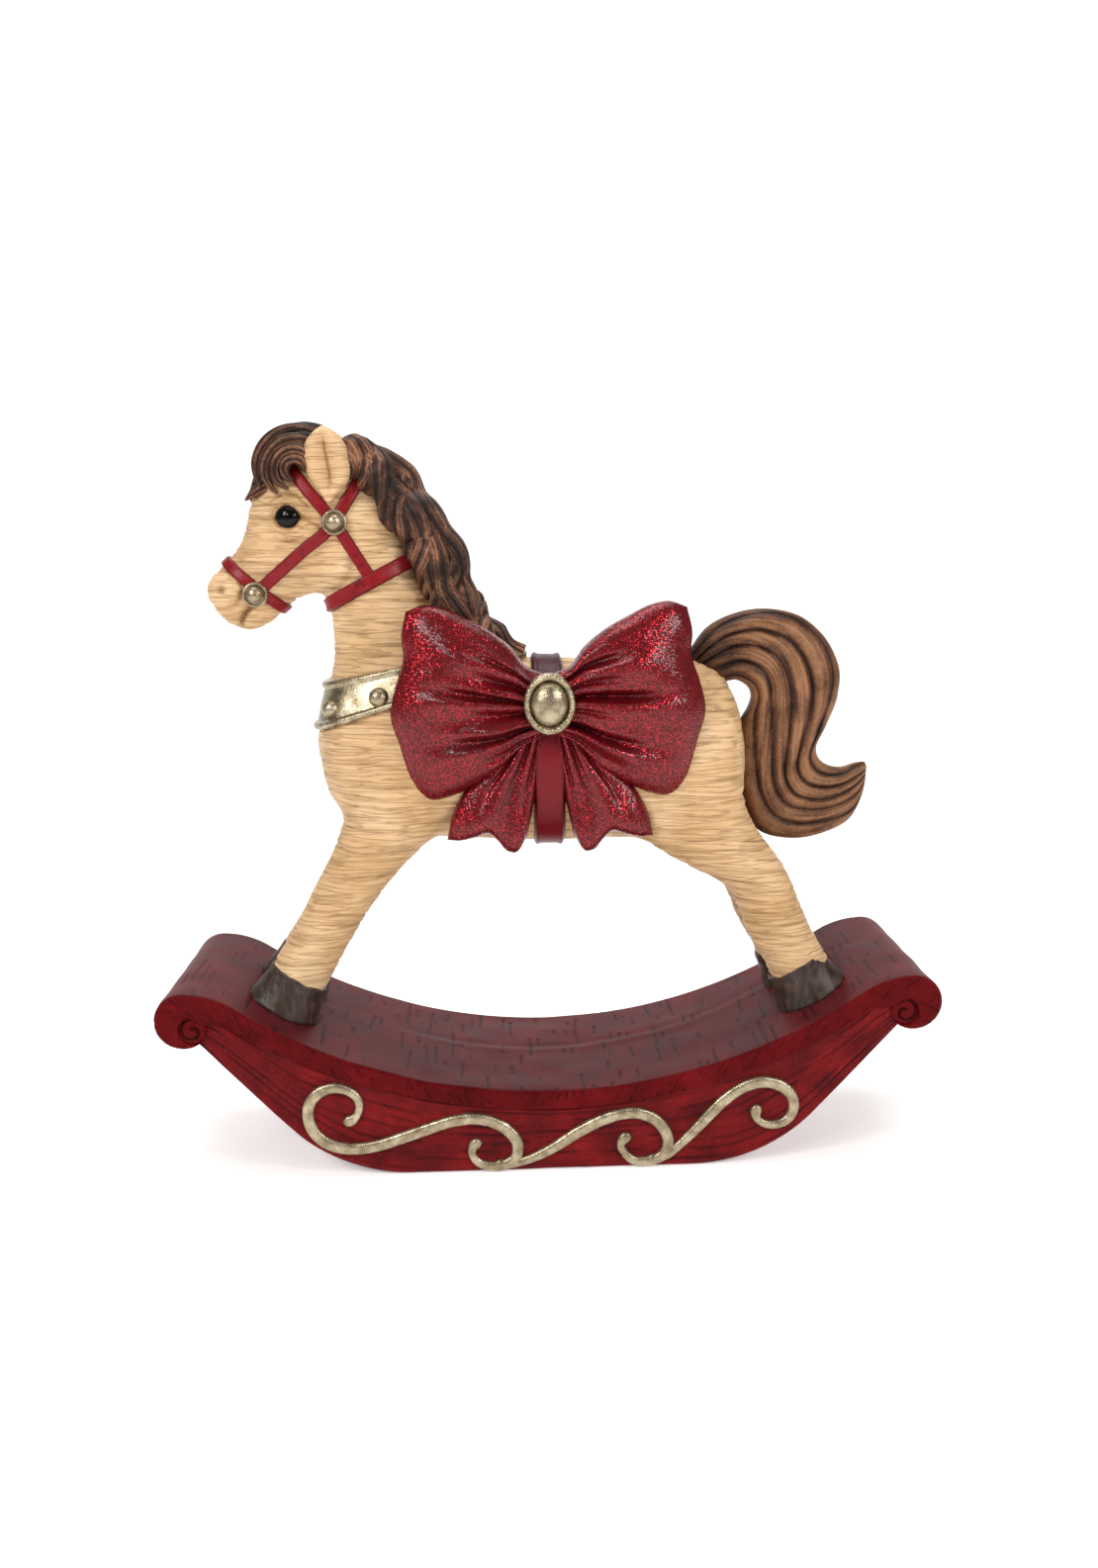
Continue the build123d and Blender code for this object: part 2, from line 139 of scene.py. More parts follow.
# ------------------------------------------------------------------ meshes
def make_piece(name, skin, material, replaced, flow=True):
    """A mesh piece on the part's one body, from a skin of (vertices, faces, flow coordinates).
    Its faces are turned outward by the sign of its volume."""
    vertices, faces, uv = skin
    vertices = np.asarray(vertices, float)
    faces = [np.asarray(block) for block in faces if len(block)]
    volume = 0.0
    for block in faces:
        a = vertices[block[:, 0]]
        for k in range(1, block.shape[1] - 1):
            volume += np.einsum("ij,ij->", a, np.cross(vertices[block[:, k]], vertices[block[:, k + 1]]))
    if volume < 0:
        faces = [block[:, ::-1] for block in faces]
    mesh = bpy.data.meshes.new(name)
    mesh.from_pydata((vertices * MM).tolist(), [], [row for block in faces for row in block.tolist()])
    mesh.polygons.foreach_set("use_smooth", np.ones(len(mesh.polygons), bool))
    if flow:
        corner = np.zeros(len(mesh.loops), np.int32)
        mesh.loops.foreach_get("vertex_index", corner)
        layer = mesh.uv_layers.new(name="flow")
        layer.data.foreach_set("uv", np.asarray(uv, np.float32).reshape(-1, 2)[corner].ravel())
    mesh.update()
    piece = bpy.data.objects.new(name, mesh)
    bpy.context.scene.collection.objects.link(piece)
    mesh.materials.append(material)
    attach(piece, "root")
    if replaced:
        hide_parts(*replaced)


def pair(name, skin, material, node, flow=True):
    """A piece on the left side and its mirror image on the right."""
    for one, side in ((skin, "left"), (mirrored(skin), "right")):
        make_piece(f"{name}_{side}", one, material, [f"{node}_{side}"], flow)


def grid_faces(nu, nv, wrap_u=False, wrap_v=False):
    """Quads between neighbours of an nu by nv grid of points."""
    u = np.arange(nu if wrap_u else nu - 1)
    v = np.arange(nv if wrap_v else nv - 1)
    u, v = [g.ravel() for g in np.meshgrid(u, v, indexing="ij")]
    u2, v2 = (u + 1) % nu, (v + 1) % nv
    return np.column_stack([u * nv + v, u2 * nv + v, u2 * nv + v2, u * nv + v2])


def tube(points, wrap=False, flow=None):
    """A closed skin from rings of points, (rings, points in a ring, 3). Open ends get a fan to
    their middle point. Returns vertices, faces and a flow coordinate for each vertex."""
    nu, nv, _ = points.shape
    vertices = points.reshape(-1, 3)
    if flow is None:
        flow = np.stack(np.meshgrid(np.linspace(0, 1, nu), np.linspace(0, 1, nv), indexing="ij"), -1)
    flow = flow.reshape(-1, 2)
    faces = [grid_faces(nu, nv, wrap_u=wrap, wrap_v=True)]
    if not wrap:
        ring = np.arange(nv)
        tip = len(vertices)
        vertices = np.vstack([vertices, points[0].mean(0), points[-1].mean(0)])
        flow = np.vstack([flow, flow[0], flow[-1]])
        last = (nu - 1) * nv
        faces.append(np.column_stack([np.full(nv, tip), ring, (ring + 1) % nv]))
        faces.append(np.column_stack([np.full(nv, tip + 1), last + (ring + 1) % nv, last + ring]))
    return vertices, faces, flow


def joined(parts):
    """Several (vertices, faces, flow) sets as one."""
    vertices, faces, flow = [], [], []
    count = 0
    for some, blocks, some_flow in parts:
        vertices.append(some)
        flow.append(some_flow)
        faces.extend(block + count for block in blocks)
        count += len(some)
    return np.vstack(vertices), faces, np.vstack(flow)


def across_path(path):
    """The direction square to a path, in the side view, at each of its points: +Y crossed with
    the path's own direction."""
    tangent = unit(np.gradient(path, axis=0))
    return unit(np.cross([0.0, 1.0, 0.0], tangent))


def button(centre, normal, profile, spokes=48, oval=(1.0, 1.0)):
    """A turned shape: the (radius, height) profile spun round the normal, its two axes
    stretched by oval. The profile runs from the rim to the middle."""
    normal = unit(np.array(normal, float))
    upward = unit(np.array([0, 0, 1.0]) - normal * normal[2])
    sideways = np.cross(upward, normal)
    radius, height = np.array(profile, float).T
    angle = np.linspace(0, TAU, spokes, endpoint=False)
    ring = np.cos(angle)[:, None] * sideways * oval[0] + np.sin(angle)[:, None] * upward * oval[1]
    points = np.array(centre) + radius[:, None, None] * ring + height[:, None, None] * normal
    return tube(points)


# ------------------------------------------------------------------ the horse's body as one field
# Each row: place along the limb's axis, offset of its middle, half height in the side view, half
# width across the horse.
TORSO = smooth_rows(
    [
        (-91, 165.5, 7, 6), (-89, 165.5, 14, 12), (-84, 166, 24, 20), (-74, 167, 31.5, 24.5),
        (-55, 167, 36, 27.3), (-20, 165, 37.5, 28.5), (20, 164, 37.3, 28.5), (50, 164.3, 36.4, 28),
        (66, 165.5, 33, 26), (76, 163.5, 26, 21.5), (80.5, 161, 17, 15), (82.5, 160, 8, 7),
    ],
    300,
)
NECK = smooth_rows(
    [
        (170, -51, 35, 24), (182, -50.5, 35, 22.5), (192, -51, 34, 20.8), (204, -53.5, 30.5, 18.6),
        (218, -60, 24, 16.2), (232, -66.3, 19.6, 14.6), (246, -69.5, 17.5, 13.6), (260, -72, 15.5, 12.5),
        (272, -75, 11, 9.5),
    ],
    200,
)
HEAD = smooth_rows(
    [
        (-17, 6, 6, 5), (-13, 5.5, 12, 8.5), (-7, 4.5, 18, 11.5), (0, 3.5, 21.5, 13.3),
        (8, 2.5, 23.3, 14.1), (16, 1.4, 23.5, 14), (22, 0.7, 22.6, 13.6), (29, -0.2, 18.6, 12.4),
        (36, -1.5, 15.6, 11.3), (42, -2.4, 14.6, 10.9), (49, -2.8, 14.3, 11), (54, -2.7, 13.1, 10.6),
        (58.5, -2.2, 9.8, 8.6), (60.5, -1.8, 6.5, 6.2), (61.8, -1.6, 3.2, 3.2),
    ],
    300,
)
FRONT_LEG = smooth_rows(
    [
        (-14, -2, 17, 9), (0, -2, 19, 12), (14, -1, 17.3, 13), (23, -0.7, 15, 12.7), (34, -0.4, 13, 11.9),
        (48, 0.2, 12, 10.9), (62, 0.2, 11.4, 10.2), (75, 0.1, 11.4, 9.9), (86, 0.2, 11.7, 10.3),
        (92, 0.2, 11.5, 10.2),
    ],
    200,
)
HIND_LEG = smooth_rows(
    [
        (-14, 0, 22, 9), (-4, -1, 22.5, 12), (4, -1.2, 21.2, 13), (12, -0.7, 18.4, 13.2),
        (22, 1.4, 15, 12.8), (31, 4.4, 12.8, 11.9), (38, 5.8, 12, 11), (45, 5.2, 12.1, 10.5),
        (55, 3.5, 12.3, 10.2), (62, 2.4, 12.2, 10), (71, 1.7, 11.7, 10), (80, 1, 12, 10.4),
        (85, 1, 11.8, 10.3),
    ],
    200,
)
LEG_APART = 16.0
HEAD_AT = (-82.0, 262.0)
HEAD_PITCH = math.radians(39)
HEAD_ALONG = (-math.cos(HEAD_PITCH), -math.sin(HEAD_PITCH))
HEAD_ACROSS = (-math.sin(HEAD_PITCH), math.cos(HEAD_PITCH))
FRONT_LEG_AT, FRONT_LEG_ALONG, FRONT_LEG_ACROSS = (-58.0, 150.0), (-0.504, -0.864), (-0.864, 0.504)
HIND_LEG_AT, HIND_LEG_ALONG, HIND_LEG_ACROSS = (60.0, 142.0), (0.529, -0.849), (0.849, 0.529)


def limb(x, y, z, start, along, across, rows, side=0.0, round_end=4.0):
    """Rough distance to a limb whose cross-sections are ellipses: (distance from the middle, in
    units of the ellipse, less 1) times its small half axis, with rounded ends."""
    t = (x - start[0]) * along[0] + (z - start[1]) * along[1]
    s = (x - start[0]) * across[0] + (z - start[1]) * across[1]
    middle, tall, wide = [np.interp(t, rows[:, 0], rows[:, k]) for k in (1, 2, 3)]
    around = (np.sqrt(((s - middle) / tall) ** 2 + ((y - side) / wide) ** 2) - 1) * np.minimum(tall, wide)
    beyond = np.maximum(rows[0, 0] - t, t - rows[-1, 0])
    a, b = around + round_end, beyond + round_end
    return np.hypot(np.maximum(a, 0), np.maximum(b, 0)) + np.minimum(np.maximum(a, b), 0) - round_end


def blend(a, b, width):
    """Union of two fields with a fillet about as wide as width."""
    h = np.maximum(width - np.abs(a - b), 0) / width
    return np.minimum(a, b) - h * h * width / 4


def body_field(x, y, z):
    """The whole tan casting, negative inside: torso, neck, head and four legs blended together."""
    y = np.abs(y)
    body = limb(x, y, z, (0, 0), (1, 0), (0, 1), TORSO)
    body = blend(body, limb(x, y, z, (0, 0), (0, 1), (1, 0), NECK), 12)
    front = limb(x, y, z, FRONT_LEG_AT, FRONT_LEG_ALONG, FRONT_LEG_ACROSS, FRONT_LEG, LEG_APART, 2)
    hind = limb(x, y, z, HIND_LEG_AT, HIND_LEG_ALONG, HIND_LEG_ACROSS, HIND_LEG, LEG_APART, 2)
    body = blend(body, np.minimum(front, hind), 7)
    head = limb(x, y, z, HEAD_AT, HEAD_ALONG, HEAD_ACROSS, HEAD, 0, 2)
    return blend(body, head, 5)


def field_normal(points):
    """Direction in which the body field grows, by differences of 0.05 mm."""
    gap = 0.05
    x, y, z = points.T
    here = body_field(x, y, z)
    slope = np.stack(
        [
            body_field(x + gap, y, z) - here,
            body_field(x, y + gap, z) - here,
            body_field(x, y, z + gap) - here,
        ],
        -1,
    )
    return here, slope / gap


def settle(points, rounds=3):
    """Moves points along the slope of the field until they lie on the body's surface."""
    for _ in range(rounds):
        here, slope = field_normal(points)
        size = np.maximum((slope**2).sum(-1), 0.05)
        move = np.clip(here / size, -0.7, 0.7)
        points = points - slope * move[:, None]
    return points, unit(field_normal(points)[1])


def cast(origin, direction, reach=90.0, steps=240):
    """Where rays from inside the body first leave it: the first sign change of the field along
    each ray, made exact by halving."""
    shape = np.broadcast(origin, direction).shape
    origin = np.broadcast_to(origin, shape).reshape(-1, 3)
    direction = np.broadcast_to(direction, shape).reshape(-1, 3)
    reached = np.linspace(0, reach, steps)
    spots = origin[:, None] + direction[:, None] * reached[None, :, None]
    outside = body_field(spots[..., 0], spots[..., 1], spots[..., 2]) > 0
    outside[:, 0] = False
    first = outside.argmax(1)
    low, high = reached[np.maximum(first - 1, 0)], reached[first]
    for _ in range(12):
        middle = (low + high) / 2
        spot = origin + direction * middle[:, None]
        out = body_field(*spot.T) > 0
        low, high = np.where(out, low, middle), np.where(out, middle, high)
    spot = origin + direction * ((low + high) / 2)[:, None]
    normal = unit(field_normal(spot)[1])
    return spot.reshape(shape), normal.reshape(shape)


def on_left_side(x, z):
    """Point and normal on the body's left side at a place in the side view."""
    x, z = np.asarray(x, float), np.asarray(z, float)
    origin = np.stack([x, np.zeros_like(x), z], -1)
    return cast(origin, np.array([0, -1.0, 0]), reach=40)


def surface_net(values, low, pitch):
    """A closed skin where a grid of values crosses zero: one vertex in each cell that is crossed,
    at the mean of the crossings on its edges, and one quad round each crossed grid edge."""
    inside = values < 0
    corners = [(i, j, k) for i in (0, 1) for j in (0, 1) for k in (0, 1)]
    n = np.array(values.shape) - 1
    count = sum(inside[i:i + n[0], j:j + n[1], k:k + n[2]].astype(np.int8) for i, j, k in corners)
    cells = np.argwhere((count > 0) & (count < 8))
    place = np.zeros((len(cells), 3))
    hits = np.zeros(len(cells))
    for a in corners:
        for axis in range(3):
            if a[axis]:
                continue
            b = tuple(c + (axis == m) for m, c in enumerate(a))
            va = values[tuple((cells + a).T)]
            vb = values[tuple((cells + b).T)]
            crossed = (va < 0) != (vb < 0)
            t = np.where(crossed, va / np.where(crossed, va - vb, 1), 0)
            place += crossed[:, None] * (np.array(a) + t[:, None] * (np.array(b) - a))
            hits += crossed
    vertices = low + pitch * (cells + place / hits[:, None])
    number = np.full(n, -1)
    number[tuple(cells.T)] = np.arange(len(cells))
    quads = []
    for axis in range(3):
        p, q = [m for m in range(3) if m != axis]
        ahead = [slice(None)] * 3
        ahead[axis] = slice(1, None)
        behind = [slice(None)] * 3
        behind[axis] = slice(None, -1)
        edge = np.argwhere(inside[tuple(ahead)] != inside[tuple(behind)])
        edge = edge[(edge[:, p] > 0) & (edge[:, q] > 0) & (edge[:, p] < n[p]) & (edge[:, q] < n[q])]
        around = []
        for dp, dq in ((-1, -1), (0, -1), (0, 0), (-1, 0)):
            cell = edge.copy()
            cell[:, p] += dp
            cell[:, q] += dq
            around.append(number[tuple(cell.T)])
        quad = np.column_stack(around)
        turn = inside[tuple(edge.T)] == (axis == 1)
        quad[turn] = quad[turn][:, ::-1]
        quads.append(quad)
    return vertices, np.vstack(quads)


def body_piece(name, low, high, pitch, cut, nodes, material):
    """One stretch of the tan casting: the zero skin of the body field inside the cutting planes,
    settled on the true surface, then carved. Its flat ends lie under a strap."""
    low, high = np.array(low, float), np.array(high, float)
    counts = np.ceil((high - low) / pitch).astype(int) + 1
    half = int(math.ceil(high[1] / pitch)) + 1
    xs = low[0] + pitch * np.arange(counts[0])
    ys = pitch * np.arange(half)
    zs = low[2] + pitch * np.arange(counts[2])
    x, y, z = np.meshgrid(xs, ys, zs, indexing="ij")
    values = np.maximum(body_field(x, y, z), cut(x, z))
    values = np.concatenate([values[:, :0:-1], values], 1)
    vertices, faces = surface_net(values, np.array([low[0], -pitch * (half - 1), low[2]]), pitch)
    free = cut(vertices[:, 0], vertices[:, 2]) < -0.4 * pitch
    vertices[free], normal = settle(vertices[free])
    depth, tone = carving(vertices[free], normal)
    vertices[free] += normal * depth[:, None]
    flow = np.zeros((len(vertices), 2))
    flow[:, 1] = 1
    flow[free, 1] = tone
    make_piece(name, (vertices, [faces], flow), material, nodes)


def tool_marks(x, y, z, pitch, wander, seed):
    """Near-level carved lines a pitch apart that waver and stop and start: 1 in a line's middle.
    A line is 0.27 times the square root of the pitch wide, to each side."""
    level = (z + 0.05 * x + wander * noise(x / 24, y / 17, z / 11, seed)) / pitch
    line = np.round(level)
    kept = step(noise(x / 15, y / 13, line * 1.7, seed + 1), -0.25, 0.2)
    return bump((level - line) * pitch, 0.27 * pitch ** 0.5) * kept


# Lines on the face in the side view: their points, and the width of the bell across them.
FACE_LINES = {
    "mouth": ([(-122, 213), (-119.6, 217.3), (-117.8, 221), (-114.2, 225)], 1.0),
    "lip": ([(-124, 219.5), (-121, 222.5), (-118, 226)], 2.2),
    "corner": ([(-94, 259.6), (-90.6, 258.6)], 1.0),
    "lid": ([(-104.2, 259.4), (-102.6, 263.3), (-98.6, 265.2), (-94.2, 263.2), (-90, 259)], 1.0),
    "pouch": ([(-103.8, 256.6), (-101, 254.2), (-97, 253.7), (-93.4, 255.6), (-90.4, 257.6)], 0.9),
    "crease": ([(-105.5, 265.4), (-101, 268.3), (-95, 268), (-90, 263.3)], 0.6),
    "cheek": ([(-90, 257.4), (-86.6, 256.2), (-84.6, 253.5)], 0.5),
    "under": ([(-103.5, 251.4), (-98, 249.8), (-92.5, 252)], 0.8),
    "jaw": ([(-88, 228.8), (-80, 232), (-75, 238), (-73, 246)], 1.6),
}


def carving(points, normal):
    """How far the surface is moved along its normal, and its paint tone (0 in a dark groove, darkened
    partly by the brown wash and partly as painted shade): level tool marks, less on the muzzle,
    and the bells of the face lines, nostril and eye."""
    x, y, z = points.T
    side = step(np.abs(normal[:, 1]), 0.15, 0.5)
    calm = 1 - 0.85 * step(-x, 118, 123) * step(-z, -246, -240)
    deep = tool_marks(x, y, z, 4.3, 2.2, 1) * calm
    fine = tool_marks(x, y, z, 1.9, 1.6, 5) * calm
    move = 0.2 * noise(x / 9, y / 9, z / 3) * calm - 0.5 * deep - 0.22 * fine
    line = {name: bump(path_distance(x, z, path), width) for name, (path, width) in FACE_LINES.items()}
    chin = bump(np.hypot(x + 115.5, z - 214.5), 4.5)
    nostril = np.hypot((x + 126.0) / 1.15, z - 231.8)
    mound = np.sqrt(np.maximum(1 - (nostril / 7.0) ** 2, 0))
    ring = bump(nostril - 7.6, 0.9)
    eye = np.hypot((x - EYE_AT[0]) / 1.05, z - EYE_AT[1])
    crease = line["crease"] + line["cheek"]
    face = side * (
        -2.6 * line["mouth"] + 0.8 * line["lip"] + 1.0 * chin - 2.2 * bump(nostril, 1.6) + 1.9 * mound
        - 0.7 * ring + 1.7 * line["lid"] + 1.3 * line["pouch"] - 0.8 * crease - 0.5 * line["under"]
        - 0.8 * line["jaw"] - 1.2 * bump(eye, 3.4) - 0.9 * line["corner"]
    )
    # Darker in the tool-mark grooves and in the face's creases, round the eye and under it: partly the brown
    # wash left in them, partly painted shade.
    dark = 0.75 * deep + 0.4 * fine + side * (
        0.95 * line["mouth"] + 0.95 * bump(nostril, 1.5) + 0.5 * ring + 0.7 * bump(eye - 4.9, 0.5)
        + 1.2 * line["corner"] + 0.8 * crease + 0.5 * line["under"] + 0.4 * line["jaw"]
    )
    lids = np.minimum(line["lid"] + line["pouch"], 1)
    return move * (1 - 0.7 * side * lids) + face, 1 - np.clip(dark, 0, 1)


# ------------------------------------------------------------------ straps laid on the body
def laid(spots, normals, heights, wrap=False):
    """A strap's skin from a grid of body points (along, across): the top is lifted along the
    normals by the heights across it, and two more rows close it under the surface."""
    top = spots + normals * heights[None, :, None]
    low = spots[:, [-1, 0]] - normals[:, [-1, 0]] * 1.4
    points = np.concatenate([top, low], 1)
    across = np.concatenate([np.linspace(0, 1, top.shape[1]), [1, 0]])
    along = np.linspace(0, 1, len(spots))
    flow = np.stack(np.meshgrid(along, across, indexing="ij"), -1)
    return tube(points, wrap=wrap, flow=flow)


def strap_profile(thick, rows=13, lip=0.0):
    """Height across a strap: flat, with rounded shoulders and raised edges if it has a lip."""
    s = np.abs(np.linspace(-1, 1, rows))
    return thick * (1 - s**7) ** 0.5 + lip * bump(s - 0.78, 0.16) - 0.25 * s**12


def side_strap(path, width, thick, count=70, rows=13):
    """A strap on the left side that follows a path drawn in the side view."""
    path = smooth_path(path, count)
    tangent = unit(np.gradient(path, axis=0))
    across = np.stack([-tangent[:, 1], tangent[:, 0]], -1)
    offset = np.linspace(-width / 2, width / 2, rows)
    place = path[:, None] + across[:, None] * offset[None, :, None]
    spots, normals = on_left_side(place[..., 0], place[..., 1])
    return laid(spots, normals, strap_profile(thick, rows))


def ring_strap(inside, toward, width, thick, turn=(0, TAU), count=150, rows=13, lip=0.0):
    """A strap in one plane across the horse: rays fan out from a point inside the body, from
    straight left (angle 0) to the way of toward (a quarter turn), in planes side by side."""
    toward = np.array([toward[0], 0, toward[1]]) / math.hypot(*toward)
    aside = np.array([-toward[2], 0, toward[0]])
    full = abs(turn[1] - turn[0] - TAU) < 1e-6
    angle = np.linspace(turn[0], turn[1], count, endpoint=not full)
    ray = np.cos(angle)[:, None] * np.array([0, -1.0, 0]) + np.sin(angle)[:, None] * toward
    offset = np.linspace(-width / 2, width / 2, rows)
    origin = np.array([inside[0], 0, inside[1]]) + offset[:, None] * aside
    spots, normals = cast(origin[None], np.repeat(ray[:, None], rows, 1))
    return laid(spots, normals, strap_profile(thick, rows, lip), wrap=full)


def mirrored(skin):
    """The same skin on the right side."""
    vertices, faces, flow = skin
    return vertices * [1, -1, 1], [block[:, ::-1] for block in faces], flow


def collar_band(rows=31, count=220):
    """The breast collar: planes that fan from a deep band over the chest to a narrow one at the
    withers, and a raised bead along each edge."""
    s = np.linspace(-1, 1, rows)
    run = np.stack([np.full(rows, 86.0), np.zeros(rows), 23.25 - 4.75 * s], -1)
    run = unit(run)
    inside = np.stack([np.full(rows, -52.0), np.zeros(rows), 194.4 + 7 * s], -1)
    angle = np.linspace(0, TAU, count, endpoint=False)[:, None, None]
    ray = np.cos(angle) * run[None] + np.sin(angle) * np.array([0, -1.0, 0])
    spots, normals = cast(inside[None], ray)
    height = 1.3 + 1.5 * np.sqrt(np.maximum(1 - ((np.abs(s) - 0.84) / 0.17) ** 2, 0))
    return laid(spots, normals, height, wrap=True)


def boss_on(place, profile, lift=0.0):
    """A turned boss set square to the body at a place on its left side."""
    spot, normal = on_left_side(place[0], place[1])
    return button(spot + normal * lift, normal, profile)


# ------------------------------------------------------------------ pillows
def pillow(front, back, flow):
    """A closed skin from two grids that share their whole border."""
    nu, nv, _ = front.shape
    number = np.arange(nu * nv).reshape(nu, nv)
    other = number.copy()
    other[1:-1, 1:-1] = nu * nv + np.arange((nu - 2) * (nv - 2)).reshape(nu - 2, nv - 2)
    quads = grid_faces(nu, nv)
    vertices = np.vstack([front.reshape(-1, 3), back[1:-1, 1:-1].reshape(-1, 3)])
    flow = np.vstack([flow.reshape(-1, 2), flow[1:-1, 1:-1].reshape(-1, 2)])
    return vertices, [quads, other.ravel()[quads][:, ::-1]], flow


def coons(near, far, low, high, nu, nv):
    """A patch of the side view between four curves: near and far run from low to high, low and
    high run from near to far. Opposite curves are mixed and the corners counted once."""
    near, far = smooth_path(near, nv), smooth_path(far, nv)
    low, high = smooth_path(low, nu), smooth_path(high, nu)
    u = np.linspace(0, 1, nu)[:, None, None]
    v = np.linspace(0, 1, nv)[None, :, None]
    corners = (
        (1 - u) * (1 - v) * near[0] + (1 - u) * v * near[-1] + u * (1 - v) * far[0] + u * v * far[-1]
    )
    return (1 - u) * near[None] + u * far[None] + (1 - v) * low[:, None] + v * high[:, None] - corners


# The bow's flat back stands this far from the middle of the horse; its loops are this thick.
BOW_BACK, LOOP_THICK = 26.0, 13.0


def bow_loop(side, nu=150, nv=160):
    """One loop of the bow. The outline is a patch from the knot to the outer edge; it is thick
    as a superellipse in both directions, and creases run out from the knot and fade."""
    flat = coons(
        [(2, 173), (0, 180), (0, 193), (2, 198)],
        [
            (51.5, 150.3), (55, 158), (58.5, 170), (61.8, 183), (59.5, 194), (56.2, 204), (56.5, 214),
            (54.5, 222.6),
        ],
        [(2, 173), (10, 169), (19, 160.5), (28, 155), (40, 149.7), (46, 148.6), (51.5, 150.3)],
        [(2, 198), (8, 200.5), (14, 208), (22, 214.5), (32, 220), (40, 223.8), (48, 225), (54.5, 222.6)],
        nu, nv,
    )
    u = np.linspace(0, 1, nu)[:, None]
    v = np.linspace(-1, 1, nv)[None, :]
    belly = 0.62 + 0.38 * np.sin(np.pi * np.clip(u * 1.05, 0, 1)) ** 0.7
    thick = (1 - np.abs(v) ** 3.4) ** 0.55 * (1 - u**9) ** 0.5 * belly
    waver = 0.05 * np.sin(4 * u + 2 * side)
    folds = 0.0
    for at, depth, reach, width in (
        (-0.46, 0.42, 0.98, 0.07), (-0.12, 0.2, 0.6, 0.06), (0.12, 0.36, 1.0, 0.05),
        (0.36, 0.24, 0.65, 0.05), (0.62, 0.28, 0.8, 0.055), (-0.76, 0.2, 0.6, 0.06),
    ):
        length = (1 - step(u, reach * 0.45, reach)) * step(u, -0.1, 0.12)
        folds = folds + depth * bump(v - at - waver, width * (0.7 + 0.9 * u)) * length
    swell = 0.12 * np.cos(v * 12.5 + 0.9 * side) * (1 - step(u, 0.4, 0.95))
    swell = swell + 0.04 * np.sin(9 * u + 5 * v)
    rim = 0.1 * bump(1 - u, 0.05) * (1 - np.abs(v) ** 6)
    height = np.clip(thick * (1 - folds + swell) + rim * thick, 0, 1.04)
    front = np.stack([BOW_MIDDLE + side * flat[..., 0], -BOW_BACK - LOOP_THICK * height, flat[..., 1]], -1)
    back = front.copy()
    back[..., 1] = -BOW_BACK + 2.2 * thick
    front[..., 1] = np.where(thick < 1e-6, -BOW_BACK, front[..., 1])
    # The second flow coordinate falls in the folds, where the paint is darkened as painted shade.
    flow = np.stack(np.broadcast_arrays(u, np.clip(1 - 2.2 * folds, 0, 1)), -1)
    return pillow(front, back, flow)


def bow_tail(side, nu=110, nv=96):
    """One hanging end of the bow, with two lengthwise creases and a notched hem."""
    flat = coons(
        [(9, 178), (5, 180), (1, 180)],
        [
            (41, 132.4), (37, 131.9), (30, 133.2), (24.6, 134.6), (21, 131.5), (17.2, 127.2),
            (14.5, 126.6), (9.3, 133),
        ],
        [(9, 178), (23, 162), (34.5, 151), (38.5, 143), (41, 132.4)],
        [(1, 180), (3.8, 162), (6.2, 147), (9.3, 133)],
        nu, nv,
    )
    u = np.linspace(0, 1, nu)[:, None]
    v = np.linspace(-1, 1, nv)[None, :]
    thick = (1 - np.abs(v) ** 4) ** 0.5 * (1 - u**14) ** 0.5
    folds = 0.42 * bump(v - 0.12 - 0.1 * u, 0.1 + 0.1 * u) * (1 - 0.55 * u)
    folds = folds + 0.25 * bump(v + 0.42, 0.09) * (1 - step(u, 0.4, 0.9))
    folds = folds + 0.25 * bump(v - 0.6, 0.08) * (1 - step(u, 0.3, 0.85))
    height = thick * (1 - folds + 0.1 * np.sin(5 * v + 3 * u))
    lift = 6.5 + 2.2 * np.cos(np.pi * u) ** 2 * u
    behind = -BOW_BACK + 0.5
    front = np.stack([BOW_MIDDLE + side * flat[..., 0], behind - lift * height, flat[..., 1]], -1)
    back = front.copy()
    back[..., 1] = behind + 1.8 * thick
    # The second flow coordinate falls in the folds, where the paint is darkened as painted shade.
    flow = np.stack(np.broadcast_arrays(u, np.clip(1 - 1.8 * folds, 0, 1)), -1)
    return pillow(front, back, flow)


